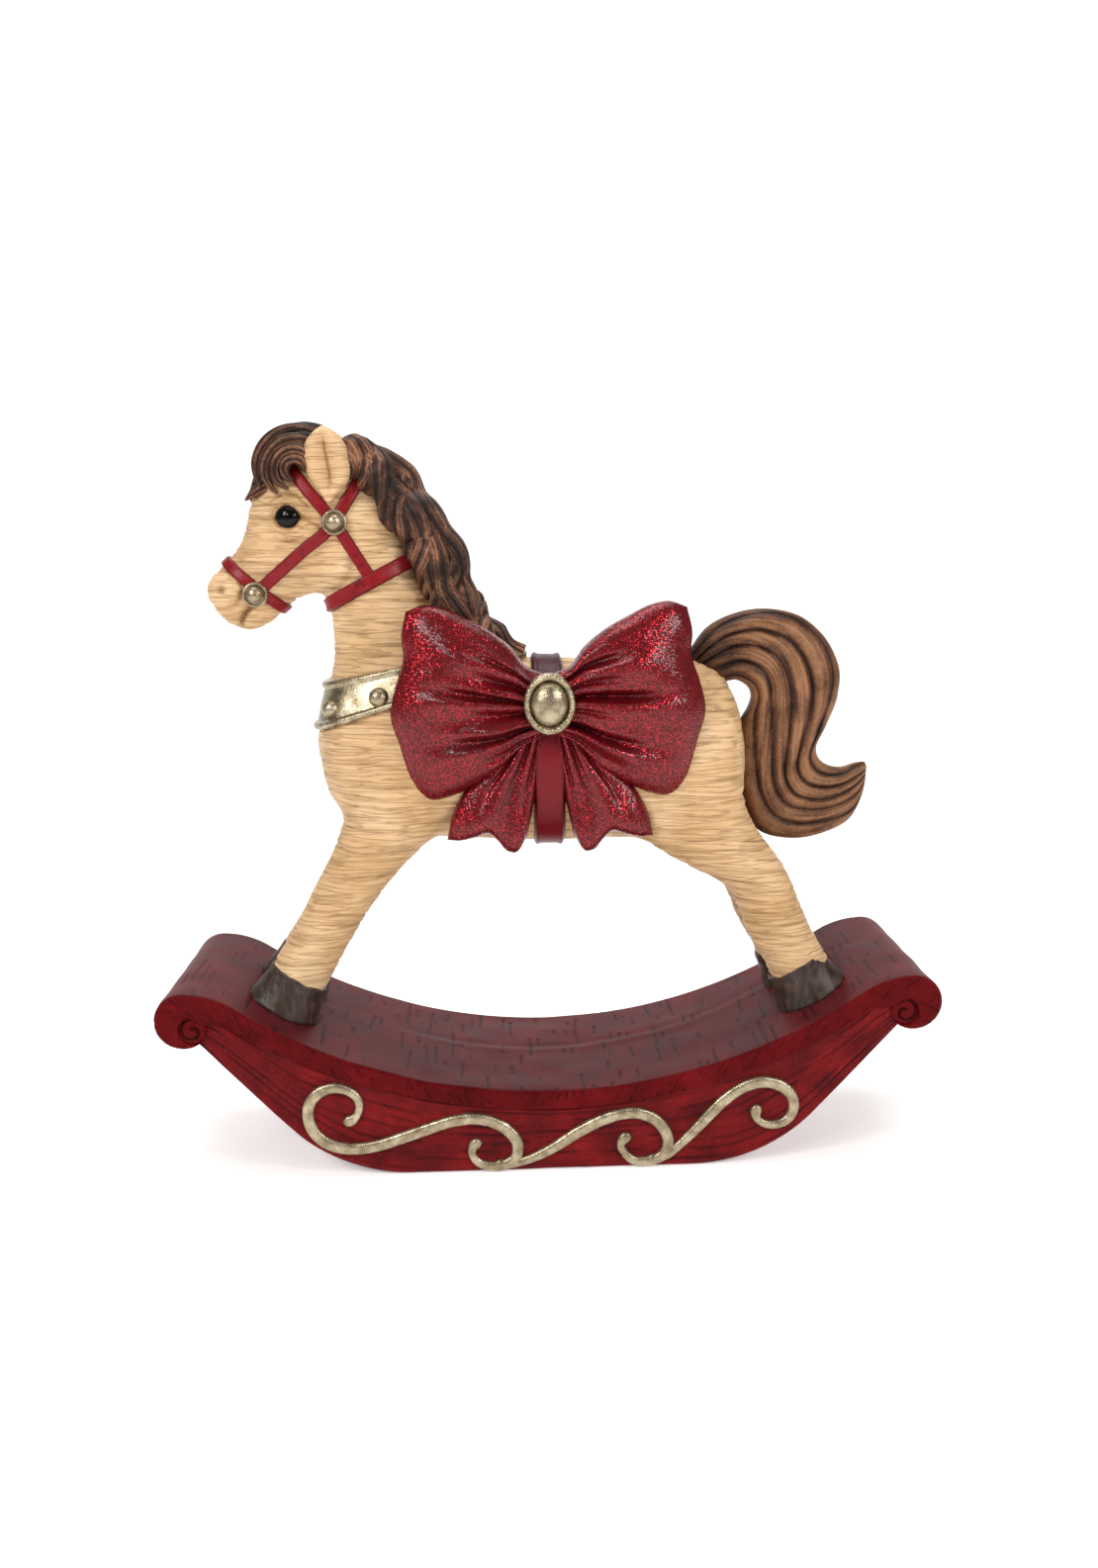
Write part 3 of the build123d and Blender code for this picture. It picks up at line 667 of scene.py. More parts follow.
def ear_leaf(nu=90, nv=70):
    """The left ear: a leaf between its front and back edges, bulged on both faces, with a
    furrow down its outer face."""
    flat = coons(
        [(-83.4, 265.4), (-82, 264.8), (-80.4, 265.4)],
        [(-86, 292.4), (-83, 293.8), (-79.9, 292.4)],
        [(-83.4, 265.4), (-86.8, 270), (-89.9, 275.5), (-91.2, 281.5), (-89.9, 288), (-86, 292.4)],
        [(-80.4, 265.4), (-77, 269), (-74, 273.5), (-73.2, 279.5), (-75, 287), (-79.9, 292.4)],
        nu, nv,
    )
    u = np.linspace(0, 1, nu)[:, None]
    v = np.linspace(-1, 1, nv)[None, :]
    bulge = (1 - v**4) ** 0.5 * (1 - u**10) ** 0.5
    furrow = bump(v - 0.06 * np.sin(5 * u), 0.3) * step(u, 0.12, 0.4) * (1 - step(u, 0.72, 0.95))
    line = bump(v - 0.06 * np.sin(5 * u), 0.07) * step(u, 0.12, 0.4) * (1 - step(u, 0.7, 0.9))
    marks = tool_marks(flat[..., 0], 0 * flat[..., 0], flat[..., 1], 2.1, 1.4, 9)
    lean = -12 - 2.2 * u
    outward = bulge * (3.8 - 1.9 * furrow - 0.7 * line - 0.16 * marks)
    front = np.stack([flat[..., 0], lean - outward, flat[..., 1]], -1)
    back = np.stack([flat[..., 0], lean + bulge * 2.6, flat[..., 1]], -1)
    # Darker in the furrow, its line and the tool marks: brown wash together with painted shade.
    tone = 1 - np.clip(0.75 * line + 0.3 * furrow + 0.35 * marks, 0, 1)
    return pillow(front, back, np.stack(np.broadcast_arrays(u, tone), -1))


# ------------------------------------------------------------------ hair
def ridged(phase, sharp=0.6):
    """Rounded ridges with narrow grooves between them, 0..1, one ridge per unit of phase."""
    return np.abs(np.sin(np.pi * phase)) ** sharp


def lock(path, wide, tall, up, nu=90, nv=40, strands=5, seed=0, twist=0.0):
    """A lock of hair: an oval carried along a path, flattened against what it lies on, with
    strand ridges lengthwise. up is the way it stands out, wide and tall its half sizes."""
    path = smooth_path(path, nu)
    tangent = unit(np.gradient(path, axis=0))
    up = np.broadcast_to(np.asarray(up, float), path.shape)
    side = unit(np.cross(tangent, up))
    lift = np.cross(side, tangent)
    s = np.linspace(0, 1, nu)[:, None]
    a = np.linspace(0, TAU, nv, endpoint=False)[None, :]
    drift = twist * s + 0.2 * noise(s * 5, a * 0, s * 0 + seed)
    ridge = ridged(strands * a / np.pi + drift)
    fray = 0.4 * noise(s * 9, np.cos(a) * 2, np.sin(a) * 2, seed + 50)
    thin = ridged(3.6 * (strands * a / np.pi + drift) + fray)
    radius = 0.82 + 0.14 * ridge + 0.045 * thin
    # Paint tone, high on the strand ridges: lighter there as dry-brushing and painted highlight, darker in
    # the grooves as painted shade.
    ridge = 0.58 * ridge + 0.42 * thin
    ends = np.interp(s[:, 0], np.linspace(0, 1, len(wide)), wide)[:, None]
    high = np.interp(s[:, 0], np.linspace(0, 1, len(tall)), tall)[:, None]
    points = (
        path[:, None]
        + side[:, None] * (ends * radius * np.cos(a))[..., None]
        + lift[:, None] * (high * radius * np.sin(a))[..., None]
    )
    return tube(points, flow=np.stack(np.broadcast_arrays(s, ridge), -1))


MANE_PATH = [
    (-79.5, 281), (-72, 282.8), (-64, 279.5), (-58.5, 271.5), (-52.5, 262), (-46.5, 254), (-41.5, 245),
    (-38.5, 236), (-34, 226), (-27.5, 215.5), (-19, 208), (-8.5, 202.5),
]
MANE_HALF = [4.6, 6.2, 7.0, 7.6, 8.0, 8.4, 8.4, 8.2, 8.8, 8.6, 7.2, 5.0]
MANE_WIDE = [8, 11, 12.5, 13, 13.5, 14, 14, 14, 14, 13.5, 11.5, 7]


def mane_core(nu=260, nv=210):
    """The mane's body: an oval carried down the crest of the neck, with twisted locks as deep
    ridges and strands as fine ones, its edge swelling where each lock turns."""
    rows = np.column_stack([np.array(MANE_PATH), MANE_HALF, MANE_WIDE])
    spaced = smooth_path(rows, nu)
    path = np.stack([spaced[:, 0], np.zeros(nu), spaced[:, 1]], -1)
    across = across_path(path)
    s = np.linspace(0, 1, nu)[:, None]
    a = np.linspace(0, TAU, nv, endpoint=False)[None, :]
    lay = np.arccos(np.cos(a)) / np.pi + 0.06 * np.sin(TAU * 4.3 * s)
    lay = lay + 0.05 * noise(s * 8, np.cos(a), np.sin(a))
    big = ridged(6.5 * (lay + 0.9 * s), 0.7)
    fine = ridged(30 * (lay + 0.9 * s) + 0.5 * noise(s * 12, np.cos(a) * 3, np.sin(a) * 3, 3), 0.8)
    swell = 1 + 0.14 * np.sin(TAU * 6.2 * s + 1.2 * np.cos(a))
    radius = (0.86 + 0.12 * big + 0.04 * fine) * swell
    points = (
        path[:, None]
        + across[:, None] * (spaced[:, 2:3] * radius * np.cos(a))[..., None]
        + np.array([0, 1.0, 0]) * (spaced[:, 3:4] * radius * np.sin(a))[..., None]
    )
    # Paint tone, high on the ridges: lighter there as dry-brushing and painted highlight, darker in the
    # grooves as painted shade.
    tone = np.clip(0.55 * big + 0.45 * fine, 0, 1)
    return tube(points, flow=np.stack(np.broadcast_arrays(s * 8, tone), -1))


def mane_locks(hand):
    """The wavy locks that lie over one side of the mane: each starts near the crest, rides the
    oval of the mane's body at its own height and snakes across it; hand is -1 for the left."""
    rows = np.column_stack([np.array(MANE_PATH), MANE_HALF, MANE_WIDE])
    spaced = smooth_path(rows, 400)
    mid = np.stack([spaced[:, 0], np.zeros(400), spaced[:, 1]], -1)
    across = across_path(mid)
    skins = []
    long_ones = [(0.0, 0.75, -0.62, -0.7), (0.1, 0.97, 0.35, 0.1), (0.02, 0.6, 0.0, -0.2)]
    slanting = [(max(0.14 * k - 0.66, 0.0), min(0.14 * k - 0.3, 0.99), -0.95, 0.98) for k in range(3, 11)]
    t = np.linspace(0, 1, 60)
    for k, (begin, finish, rise, fall) in enumerate(long_ones + slanting):
        row = (begin + (finish - begin) * t) * 399
        low = row.astype(int)
        wave = 0.3 * np.sin(TAU * (3.0 * row / 399 + 0.37 * k))
        over = np.clip(rise + (fall - rise) * step(t, -0.1, 0.95) + wave * (1 - t), -0.97, 0.99)
        out = np.sqrt(1 - over**2)
        path = mid[low] + across[low] * (spaced[low, 2] * over)[:, None]
        path = path + np.array([0, hand, 0]) * (spaced[low, 3] * out * 0.96)[:, None]
        lump = 0.13 * np.sin(TAU * 6.2 * row / 399 + 1.2 * over)
        path = path + (path - mid[low]) * lump[:, None]
        up = across[low] * over[:, None] + np.array([0, hand, 0]) * out[:, None]
        up = smooth_path(np.column_stack([path, up]), 84)[:, 3:]
        wide = [1.0, 3.6, 5.2, 6.0, 6.2, 5.6, 4.0, 0.6]
        tall = [0.8, 2.2, 3.4, 4.4, 5.2, 5.4, 4.4, 0.5]
        skins.append(lock(path, wide, tall, up, nu=84, nv=64, strands=3, seed=k, twist=1.6))
    return skins


TAIL_EDGES = [
    (59, 202, 65, 191), (67.5, 213, 73, 190.2), (80, 218.8, 79.5, 191), (92, 220, 84, 188.3),
    (105, 217, 85.6, 184.3), (115, 209, 84.3, 179.8), (121.5, 197, 81, 174), (121.5, 184, 79, 163),
    (117, 172, 79.5, 148), (113, 163.5, 83, 137), (114, 158.2, 90, 127.5), (118, 155, 103, 124.3),
    (124, 154.2, 117, 126.6), (129.5, 155.8, 127.5, 132.5), (133.3, 155.8, 132.6, 143),
    (134.3, 154, 134, 150),
]
TAIL_THICK = [4.5, 7, 8.4, 9, 9, 9, 8.8, 8.6, 8.6, 8.6, 8.4, 8, 7, 5.4, 3.4, 1.2]


def tail_plume(nu=260, nv=130):
    """The tail: strands run between its outer and inner edge, side by side; it is an oval
    through its thickness, cut by lengthwise grooves that drift across it."""
    rows = np.column_stack([np.array(TAIL_EDGES), TAIL_THICK])
    centre = (rows[:, :2] + rows[:, 2:4]) / 2
    along = np.concatenate([[0], np.cumsum(np.linalg.norm(np.diff(centre, axis=0), axis=1) + 4)])
    spaced = smooth_rows(np.column_stack([along, rows]), nu)[:, 1:]
    u = np.linspace(0, 1, nu)[:, None]
    v = np.linspace(0, 1, nv)[None, :]
    flat = spaced[:, None, :2] * (1 - v[..., None]) + spaced[:, None, 2:4] * v[..., None]
    drift = v + 0.035 * np.sin(7 * u + 4 * v) + 0.02 * noise(u * 6, v * 3, 0 * u, 4)
    big = ridged(drift * 5.3 + 0.3 + 0.45 * u + 0.18 * noise(u * 3, v * 5, 0 * u, 5), 0.6)
    mid = ridged(drift * 11 + 1.5 * noise(u * 3, v * 4, 0 * u, 7), 0.9)
    fine = noise(drift * 60, u * 5, 0 * u, 8) * 0.5 + 0.5
    oval = np.maximum(1 - np.abs(2 * v - 1) ** 3, 0) ** 0.5 * np.maximum(1 - u**24, 0) ** 0.5
    height = spaced[:, 4:5] * oval * (0.72 + 0.24 * big + 0.05 * mid + 0.012 * fine)
    front = np.stack([flat[..., 0], -height, flat[..., 1]], -1)
    back = np.stack([flat[..., 0], height, flat[..., 1]], -1)
    # Paint tone, high on the ridges: lighter there as dry-brushing and painted highlight, darker in the
    # grooves as painted shade.
    tone = np.clip(0.12 + 0.6 * big + 0.16 * mid + 0.24 * fine, 0, 1.1)
    # Darker towards the root, where the tail leaves the rump.
    tone = tone * (0.5 + 0.5 * step(u, 0.0, 0.2))
    return pillow(front, back, np.stack(np.broadcast_arrays(u * 9, tone), -1))


def forelock_curl(nu=170, nv=170):
    """The forelock: a broad oval carried round an arc from behind the ears over the brow and
    down to its tip, with strands lengthwise."""
    rows = smooth_path(
        [
            (-80.5, 283, 6.0, 9.5), (-86, 287.2, 7.6, 12), (-92.5, 288.4, 8, 13.5), (-99, 286, 8.2, 14),
            (-103.6, 280.6, 7.6, 13), (-107, 275, 6, 10.5), (-111, 270.8, 3.4, 7), (-114.8, 267.6, 0.8, 2),
        ],
        nu,
    )
    path = np.stack([rows[:, 0], np.zeros(nu), rows[:, 1]], -1)
    across = across_path(path)
    s = np.linspace(0, 1, nu)[:, None]
    a = np.linspace(0, TAU, nv, endpoint=False)[None, :]
    big = ridged(a / TAU * 12 + 0.5 * s + 0.25 * noise(s * 4, np.cos(a), np.sin(a), 2), 0.7)
    fine = ridged(a / TAU * 46 + 1.5 * s + 0.5 * noise(s * 6, np.cos(a) * 3, np.sin(a) * 3, 6), 0.9)
    radius = 0.87 + 0.11 * big + 0.03 * fine
    points = (
        path[:, None]
        + across[:, None] * (rows[:, 2:3] * radius * np.cos(a))[..., None]
        + np.array([0, 1.0, 0]) * (rows[:, 3:4] * radius * np.sin(a))[..., None]
    )
    # Paint tone, high on the ridges: lighter there as dry-brushing and painted highlight, darker in the
    # grooves as painted shade.
    return tube(points, flow=np.stack(np.broadcast_arrays(s * 4, 0.42 * big + 0.18 * fine), -1))


def forelock_locks(hand):
    """The arcs of hair on one side of the forelock, one inside the other round the swirl."""
    skins = []
    for k, (radius, out, begin, finish) in enumerate((
        (15.5, 8.5, 35, 205), (11.6, 12.2, 25, 232), (7.8, 14.2, 15, 250), (4.2, 14.6, 0, 262),
    )):
        angle = np.radians(np.linspace(begin, finish, 30))
        reach, rise = radius * 1.02 * np.cos(angle), radius * np.sin(angle)
        path = np.stack([-94.5 + reach, np.full(30, hand * out), 277.5 + rise], -1)
        up = np.stack([0.45 * np.cos(angle), 0 * angle + hand, 0.45 * np.sin(angle)], -1)
        up = unit(smooth_path(np.column_stack([path, up]), 90)[:, 3:])
        wide, tall = [1.2, 2.3, 2.5, 2.5, 2.2, 0.6], [1.2, 1.9, 2.1, 2.1, 1.7, 0.5]
        skins.append(lock(path, wide, tall, up, nv=60, strands=3, seed=k))
    tuft = np.array([(-106, 6, 272), (-109.5, 7, 270.5), (-112.5, 6.5, 268.6), (-115.5, 6, 266.2)])
    wide, tall, up = [2.4, 2.4, 1.8, 0.4], [2, 2, 1.4, 0.4], (-0.3, hand, 0.4)
    skins.append(lock(tuft * [1, hand, 1], wide, tall, up, nu=50, nv=50, strands=3, seed=9))
    return skins


# ------------------------------------------------------------------ hooves
# Radius of the deck's hollow, height of its centre over the ground, thickness of the board.
DECK_R, DECK_Z, BOARD = 224.0, 257.7, 8.0


def hoof(end):
    """A left hoof: ovals square to the deck, flared to the sole, with a ragged coronet that
    stands over the leg. end is -1 for the front and 1 for the hind hoof."""
    stance = 109.0
    tilt = math.asin(stance / DECK_R)
    foot = np.array([end * stance, -LEG_APART, DECK_Z - math.sqrt(DECK_R**2 - stance**2)])
    up = np.array([-end * math.sin(tilt), 0, math.cos(tilt)])
    along = np.array([math.cos(tilt), 0, end * math.sin(tilt)])
    lifts = np.array([-1.2, 0, 0.6, 1.6, 4, 7, 10, 12.5, 14.2, 15.2, 15.7, 15.6, 14.8, 12])
    longs = np.array([14.4, 15.0, 15.3, 15.2, 14.5, 13.7, 12.9, 12.5, 12.3, 12.2, 11.9, 11.5, 10.8, 9])
    wides = longs - np.array([1.8, 2, 2, 2, 1.9, 1.8, 1.6, 1.4, 1.3, 1.2, 1.2, 1.2, 1.2, 1.0])
    rows = smooth_rows(np.column_stack([np.arange(14), lifts, longs, wides]), 80)
    s = rows[:, :1] / 13
    a = np.linspace(0, TAU, 90, endpoint=False)[None, :]
    ragged = 0.5 * noise(np.cos(a) * 3, np.sin(a) * 3, 0 * a + end, 11) + 0.35 * np.cos(a) * end
    lift = rows[:, 1:2] + ragged * step(s, 0.45, 0.75)
    rough = 1 + 0.012 * noise(np.cos(a) * 6, np.sin(a) * 6, s * 14, 12)
    points = (
        foot
        + up * lift[..., None]
        + along * (rows[:, 2:3] * rough * np.cos(a))[..., None]
        + np.array([0, 1.0, 0]) * (rows[:, 3:4] * rough * np.sin(a))[..., None]
    )
    return tube(points)


# ------------------------------------------------------------------ rocker
# Middle and radius of a roll, and of the core it winds round, in the side view.
ROLL_AT, ROLL_R = np.array([144.0, 66.2]), 11.0
CORE_AT, CORE_R = np.array([140.1, 62.6]), 5.4
# Half the width of the board and of the casting under it.
BOARD_HALF, CASTING_HALF = 45.0, 43.5


def deck_edges(count=560):
    """The board seen edge on, as its upper and its lower edge point by point: the hollow of the
    deck, then round the outside of the roll, and round the core, until the two meet."""
    share = np.linspace(0, 1, count // 2)
    reach, hollow, rise, pull = 124.0, 400, 60, 21.0
    bend = math.asin(reach / DECK_R)
    x = np.linspace(0, reach, hollow)
    upper = np.stack([x, DECK_Z - np.sqrt(DECK_R**2 - x**2)], -1)
    lead = np.linspace(0, 1, rise)[1:, None]
    start, slope = upper[-1], np.array([math.cos(bend), math.sin(bend)])
    crown = ROLL_AT + [0, ROLL_R]
    hermite = (
        start * (1 + 2 * lead) * (1 - lead) ** 2 + pull * slope * lead * (1 - lead) ** 2
        + crown * lead**2 * (3 - 2 * lead) + np.array([pull, 0]) * lead**2 * (lead - 1)
    )
    round_out = np.radians(np.linspace(90, -134, 200))[1:]
    outer = ROLL_AT + ROLL_R * np.stack([np.cos(round_out), np.sin(round_out)], -1)
    upper = np.vstack([upper, hermite, outer])
    x = np.linspace(0, 127.5, hollow)
    lower = np.stack([x, DECK_Z - np.sqrt((DECK_R + BOARD) ** 2 - x**2)], -1)
    round_in = np.radians(np.linspace(158, -133, 260))
    inner = CORE_AT + CORE_R * np.stack([np.cos(round_in), np.sin(round_in)], -1)
    lower = np.vstack([lower, inner])
    ends = []
    flat_share = 0.78
    for edge, corner in ((upper, hollow + rise - 1), (lower, hollow)):
        length = run_length(edge)
        knee = length[corner - 1]
        beyond = (share - flat_share) / (1 - flat_share) * (length[-1] - knee)
        at = np.where(share < flat_share, share / flat_share * knee, knee + beyond)
        ends.append(np.stack([np.interp(at, length, edge[:, k]) for k in (0, 1)], -1))
    return [np.vstack([half[::-1] * [-1, 1], half[1:]]) for half in ends]


def rocker_board():
    """The deck board: at each step along its two edges a rounded oblong right across the
    rocker. The upper face has cracks across it and a low ridge that wavers along it."""
    upper, lower = deck_edges()
    half = BOARD_HALF
    corner = 1.5
    turn = np.linspace(0, np.pi / 2, 6)
    y_top = np.linspace(-half + corner, half - corner, 96)
    y_low = np.linspace(half - corner, -half + corner, 24)
    rising, falling = half - corner + corner * np.sin(turn[1:]), half - corner + corner * np.cos(turn[:-1])
    edge = np.full(7, half)
    y = np.concatenate([y_top, rising, edge, falling, y_low, -rising, -edge, -falling])
    sink = corner * (1 - np.cos(turn))
    n96, n24, n7, n5 = np.zeros(96), np.zeros(24), np.zeros(7), np.zeros(5)
    from_top = [n96, sink[1:], n7 + corner, n5 + corner, n24, n5 + corner, n7 + corner, sink[::-1][:-1]]
    from_low = [n96, n5, n7, sink[::-1][:-1], n24, sink[1:], n7, n5]
    face = np.linspace(0, 1, 9)[1:-1]
    share = [n96, n5, face, n5 + 1, n24 + 1, n5 + 1, face[::-1], n5]
    from_top, from_low, share = [np.concatenate(rows) for rows in (from_top, from_low, share)]
    gap = lower - upper
    thick = np.linalg.norm(gap, axis=1)[:, None]
    down = gap / np.maximum(thick, 1e-6)
    fit = np.minimum(thick / (3 * corner), 1)
    depth = share[None] * thick
    depth = np.where(share[None] == 0, from_top[None] * fit, depth)
    depth = np.where(share[None] == 1, thick - from_low[None] * fit, depth)
    inner_face = (share > 0) & (share < 1)
    depth = np.where(inner_face[None], corner * fit + (thick - 2 * corner * fit) * share[None], depth)
    x0 = upper[:, :1]
    length = run_length(upper)[:, None]
    top = (share == 0)[None] & (np.abs(y) < half - 1)[None]
    cell = length / 3.6 + 0.25 * noise(length / 9, y[None] / 22, 0 * x0, 21)
    kept = step(noise(np.round(cell) * 1.9, y[None] / 11, 0 * x0, 22), 0.3, 0.45)
    crack = bump((cell - np.round(cell)) * 3.6, 0.5) * kept
    ridge_y = 6 + 16 * noise(length / 60, 0 * y[None], 0 * x0, 23)
    ridge = bump(y[None] - ridge_y, 3.4) - bump(y[None] - ridge_y - 5, 3)
    ridge = ridge * step(noise(length / 30, y[None] / 40, 0 * x0, 27), -0.5, 0.3)
    waves = 0.35 * noise(length / 16, y[None] / 13, 0 * x0, 24)
    depth = depth + np.where(top, 0.45 * crack - 0.3 * ridge - waves, 0)
    points = np.stack([
        upper[:, :1] + down[:, :1] * depth, y + 0 * depth, upper[:, 1:] + down[:, 1:] * depth
    ], -1)
    side_cells = length / 3.1 + 0.4 * noise(length / 7, depth / 3, 0 * x0, 25)
    kept = step(noise(np.round(side_cells) * 2.3, depth / 2.5, 0 * x0, 26), 0.1, 0.4)
    nick = bump((side_cells - np.round(side_cells)) * 3.1, 0.3) * kept
    on_side = (np.abs(y) > half - 0.5)[None]
    points[..., 1] -= np.where(on_side, np.sign(y)[None] * 0.35 * nick, 0)
    # The upper face is marked for the board's paler mauve top colour, a painted reflection of the pale
    # backdrop; cracks and nicks are marked darker.
    top_painted_reflection = np.where(top, 1.0, 0.0)
    dark = np.where(top, 0.7 * crack, np.where(on_side, 0.8 * nick, 0))
    flow = np.stack(np.broadcast_arrays(top_painted_reflection * 0.5 + 0.25, 1 - dark), -1)
    return tube(points, flow=flow)


def roll_core(end):
    """The core of a roll: a bar right across whose ends are cut with a spiral groove, one turn
    inward for each 4.4 mm of radius, and rounded at the rim."""
    pitch, face = 4.4, BOARD_HALF + 0.2
    radius = np.concatenate([np.linspace(0.25, 5.2, 20), [5.25, 5.25]])
    lift = np.concatenate([face - 0.9 * np.linspace(0, 1, 20) ** 5, [43.6, 40]])
    a = end * np.linspace(0, TAU, 72, endpoint=False)[None, :]
    r, top = radius[:, None] + 0 * a, lift[:, None] + 0 * a
    phase = r / pitch - a / TAU
    groove = bump((phase - np.round(phase)) * pitch, 0.65) * step(r, 0.3, 1.4) * (1 - step(r, 4.9, 5.2))
    top = top - 0.9 * groove
    shade = 1 - 0.9 * groove
    tone = np.concatenate([shade, shade[::-1]])
    r, y = np.concatenate([r, r[::-1]]), np.concatenate([top, -top[::-1]])
    points = np.stack([end * (CORE_AT[0] + r * np.cos(a)), y, CORE_AT[1] + r * np.sin(a)], -1)
    return tube(points, flow=np.stack([np.full(tone.shape, 0.25), tone], -1))


def casting_low(x):
    """Height of the casting's underside: flat foot, round heel, straight end."""
    x = np.abs(x)
    heel = 68.0
    arc = heel - np.sqrt(np.maximum(heel**2 - np.clip(x - 56, 0, 48.08) ** 2, 0))
    return arc + np.clip(x - 104.08, 0, None) * 1.06


def rocker_casting(nx=380, nz=84, ny=34):
    """The crescent under the board: at each place along it an oblong from the underside up into
    the board, its lower edges rounded, its two sides cut by grooves that fan towards the ends."""
    x = np.linspace(-138.2, 138.2, nx)[:, None]
    low = casting_low(x)
    top = DECK_Z - np.sqrt((DECK_R + BOARD / 2) ** 2 - np.minimum(np.abs(x), 130) ** 2)
    top = np.maximum(top + np.clip(np.abs(x) - 130, 0, 9) * 0.3, low + 1.2)
    half = CASTING_HALF
    s = np.linspace(0, 1, nz)[None, :] ** 1.15
    rounding = 2.2
    height = low + (top - low) * s
    short = np.clip(1 - (height - low) / rounding, 0, 1)
    inset = rounding * (1 - np.sqrt(np.maximum(1 - short**2, 0)))
    groove, shade = casting_grooves(*np.broadcast_arrays(s, x, top - low))
    y_side = half - inset - groove
    floor_y = np.linspace(1, -1, ny)[None, 1:-1] * (half - rounding)
    roof_y = np.linspace(-1, 1, ny)[None, 1:-1] * half
    ring_y = np.concatenate([-y_side, roof_y + 0 * x, y_side[:, ::-1], floor_y + 0 * x], 1)
    ring_z = np.concatenate([height, top + 0 * roof_y, height[:, ::-1], low + 0 * floor_y], 1)
    points = np.stack([x + 0 * ring_y, ring_y, ring_z], -1)
    bare = np.ones((nx, ny - 2))
    tone = np.concatenate([1 - shade, bare, 1 - shade[:, ::-1], bare], 1)
    return tube(points, flow=np.stack([np.full(tone.shape, 0.25), tone], -1))


def casting_grooves(share, x, gap):
    """Depth and darkness of the grooves on the casting's sides. A groove keeps its share of the
    way up from the underside to the board, so they lie down the ends like a fan; deep ones are
    a tenth of the way apart and fine ones a third of that, wavering and broken."""
    cuts = []
    for rows, wander, width, seed in ((10, 0.55, 0.5, 31), (27, 0.8, 0.28, 33)):
        level = share * rows + wander * noise(x / 24, share * rows / 3, 0 * x, seed)
        line = np.round(level)
        kept = step(noise(x / 15, line * 1.3, 0 * x, seed + 1), -0.15, 0.25)
        cuts.append(bump((level - line) * np.maximum(gap / rows, 0.8), width) * kept)
    swell = 0.25 * noise(x / 13, share * 5, 0 * x, 35)
    return 0.55 * cuts[0] + 0.25 * cuts[1] + swell, np.clip(0.8 * cuts[0] + 0.45 * cuts[1], 0, 1)


def gold_strand(path, width=5.0, height=2.05, nu=240, nv=18):
    """A gold strand on the casting's side: half of a superellipse carried along a curve, thinner
    near its curled ends, which are rounded off."""
    flat = smooth_path(path, nu)
    tangent = unit(np.gradient(flat, axis=0))
    across = np.stack([-tangent[:, 1], tangent[:, 0]], -1)
    length = run_length(flat)
    total = length[-1]
    taper = 1 - 0.375 * (1 - step(length, 0, 38)) - 0.375 * (1 - step(total - length, 0, 38))
    knob = 0.34 * (bump(length - 2.6, 2.6) + bump(total - length - 2.6, 2.6))
    near_end = np.clip(1 - np.minimum(length, total - length) / 2.2, 0, 1)
    end = np.sqrt(np.clip(1 - near_end**2, 0.0008, 1))
    half = (width / 2 * (taper + knob) * end)[:, None]
    rise = (height * (0.62 + 0.38 * taper + 0.3 * knob) * (0.25 + 0.75 * end))[:, None]
    a = np.linspace(0, np.pi, nv)[None, :]
    reach = np.sign(np.cos(a)) * np.abs(np.cos(a)) ** 0.75 * half
    lift = np.sin(a) ** 0.7 * rise
    reach = np.concatenate([reach, -half, half], 1)
    lift = np.concatenate([lift, np.full((nu, 1), -0.9), np.full((nu, 1), -0.9)], 1)
    lift = lift + 0.07 * noise(flat[:, :1] / 1.1 + reach, flat[:, 1:] / 1.1, reach / 1.1, 41)
    points = np.stack([
        flat[:, :1] + across[:, :1] * reach, 0.2 - CASTING_HALF - lift, flat[:, 1:] + across[:, 1:] * reach
    ], -1)
    return tube(points)


ORNAMENT = [
    [
        (-83.5, 23.2), (-80, 23.6), (-76.9, 27.5), (-77.2, 32.5), (-80.8, 36), (-86, 37.3), (-92, 35.7),
        (-95.8, 31.8), (-96.9, 27), (-95.8, 21), (-92.3, 16.2), (-87, 13), (-80, 11.7), (-70, 12.7),
        (-60, 15.7), (-50, 19), (-40, 22), (-32, 22.8), (-24.3, 21.2), (-18, 17.3), (-14.3, 11.5),
        (-15.3, 5.8), (-20, 3), (-26, 2.7), (-30.8, 5), (-32.6, 8.8), (-31.2, 12), (-28.3, 12.8),
    ],
    [
        (-24, 3), (-17, 3.2), (-10, 5), (0, 9.6), (10, 15.9), (20, 20.8), (28, 23), (36, 22.6),
        (41.7, 19.3), (45.3, 14), (46, 10), (43.6, 5), (38, 2.9), (32.3, 3.2), (28.6, 6.3), (27, 10),
        (28.7, 12.8), (31.4, 13),
    ],
    [
        (37, 2.9), (45, 4.7), (51, 9.6), (57, 15.5), (63, 22), (70, 28.7), (77, 33), (84, 34.6), (90.7, 33),
        (95.4, 28.8), (96.4, 23.5), (94.4, 19.2), (89.8, 16.7), (85, 17), (81.6, 19.7), (81.3, 22.6),
        (83.2, 24.6),
    ],
]


# ------------------------------------------------------------------ materials
def linear(colour):
    """An sRGB hex colour as linear red, green, blue and full alpha."""
    parts = [int(colour[i:i + 2], 16) / 255 for i in (1, 3, 5)]
    return [c / 12.92 if c <= 0.04045 else ((c + 0.055) / 1.055) ** 2.4 for c in parts] + [1.0]


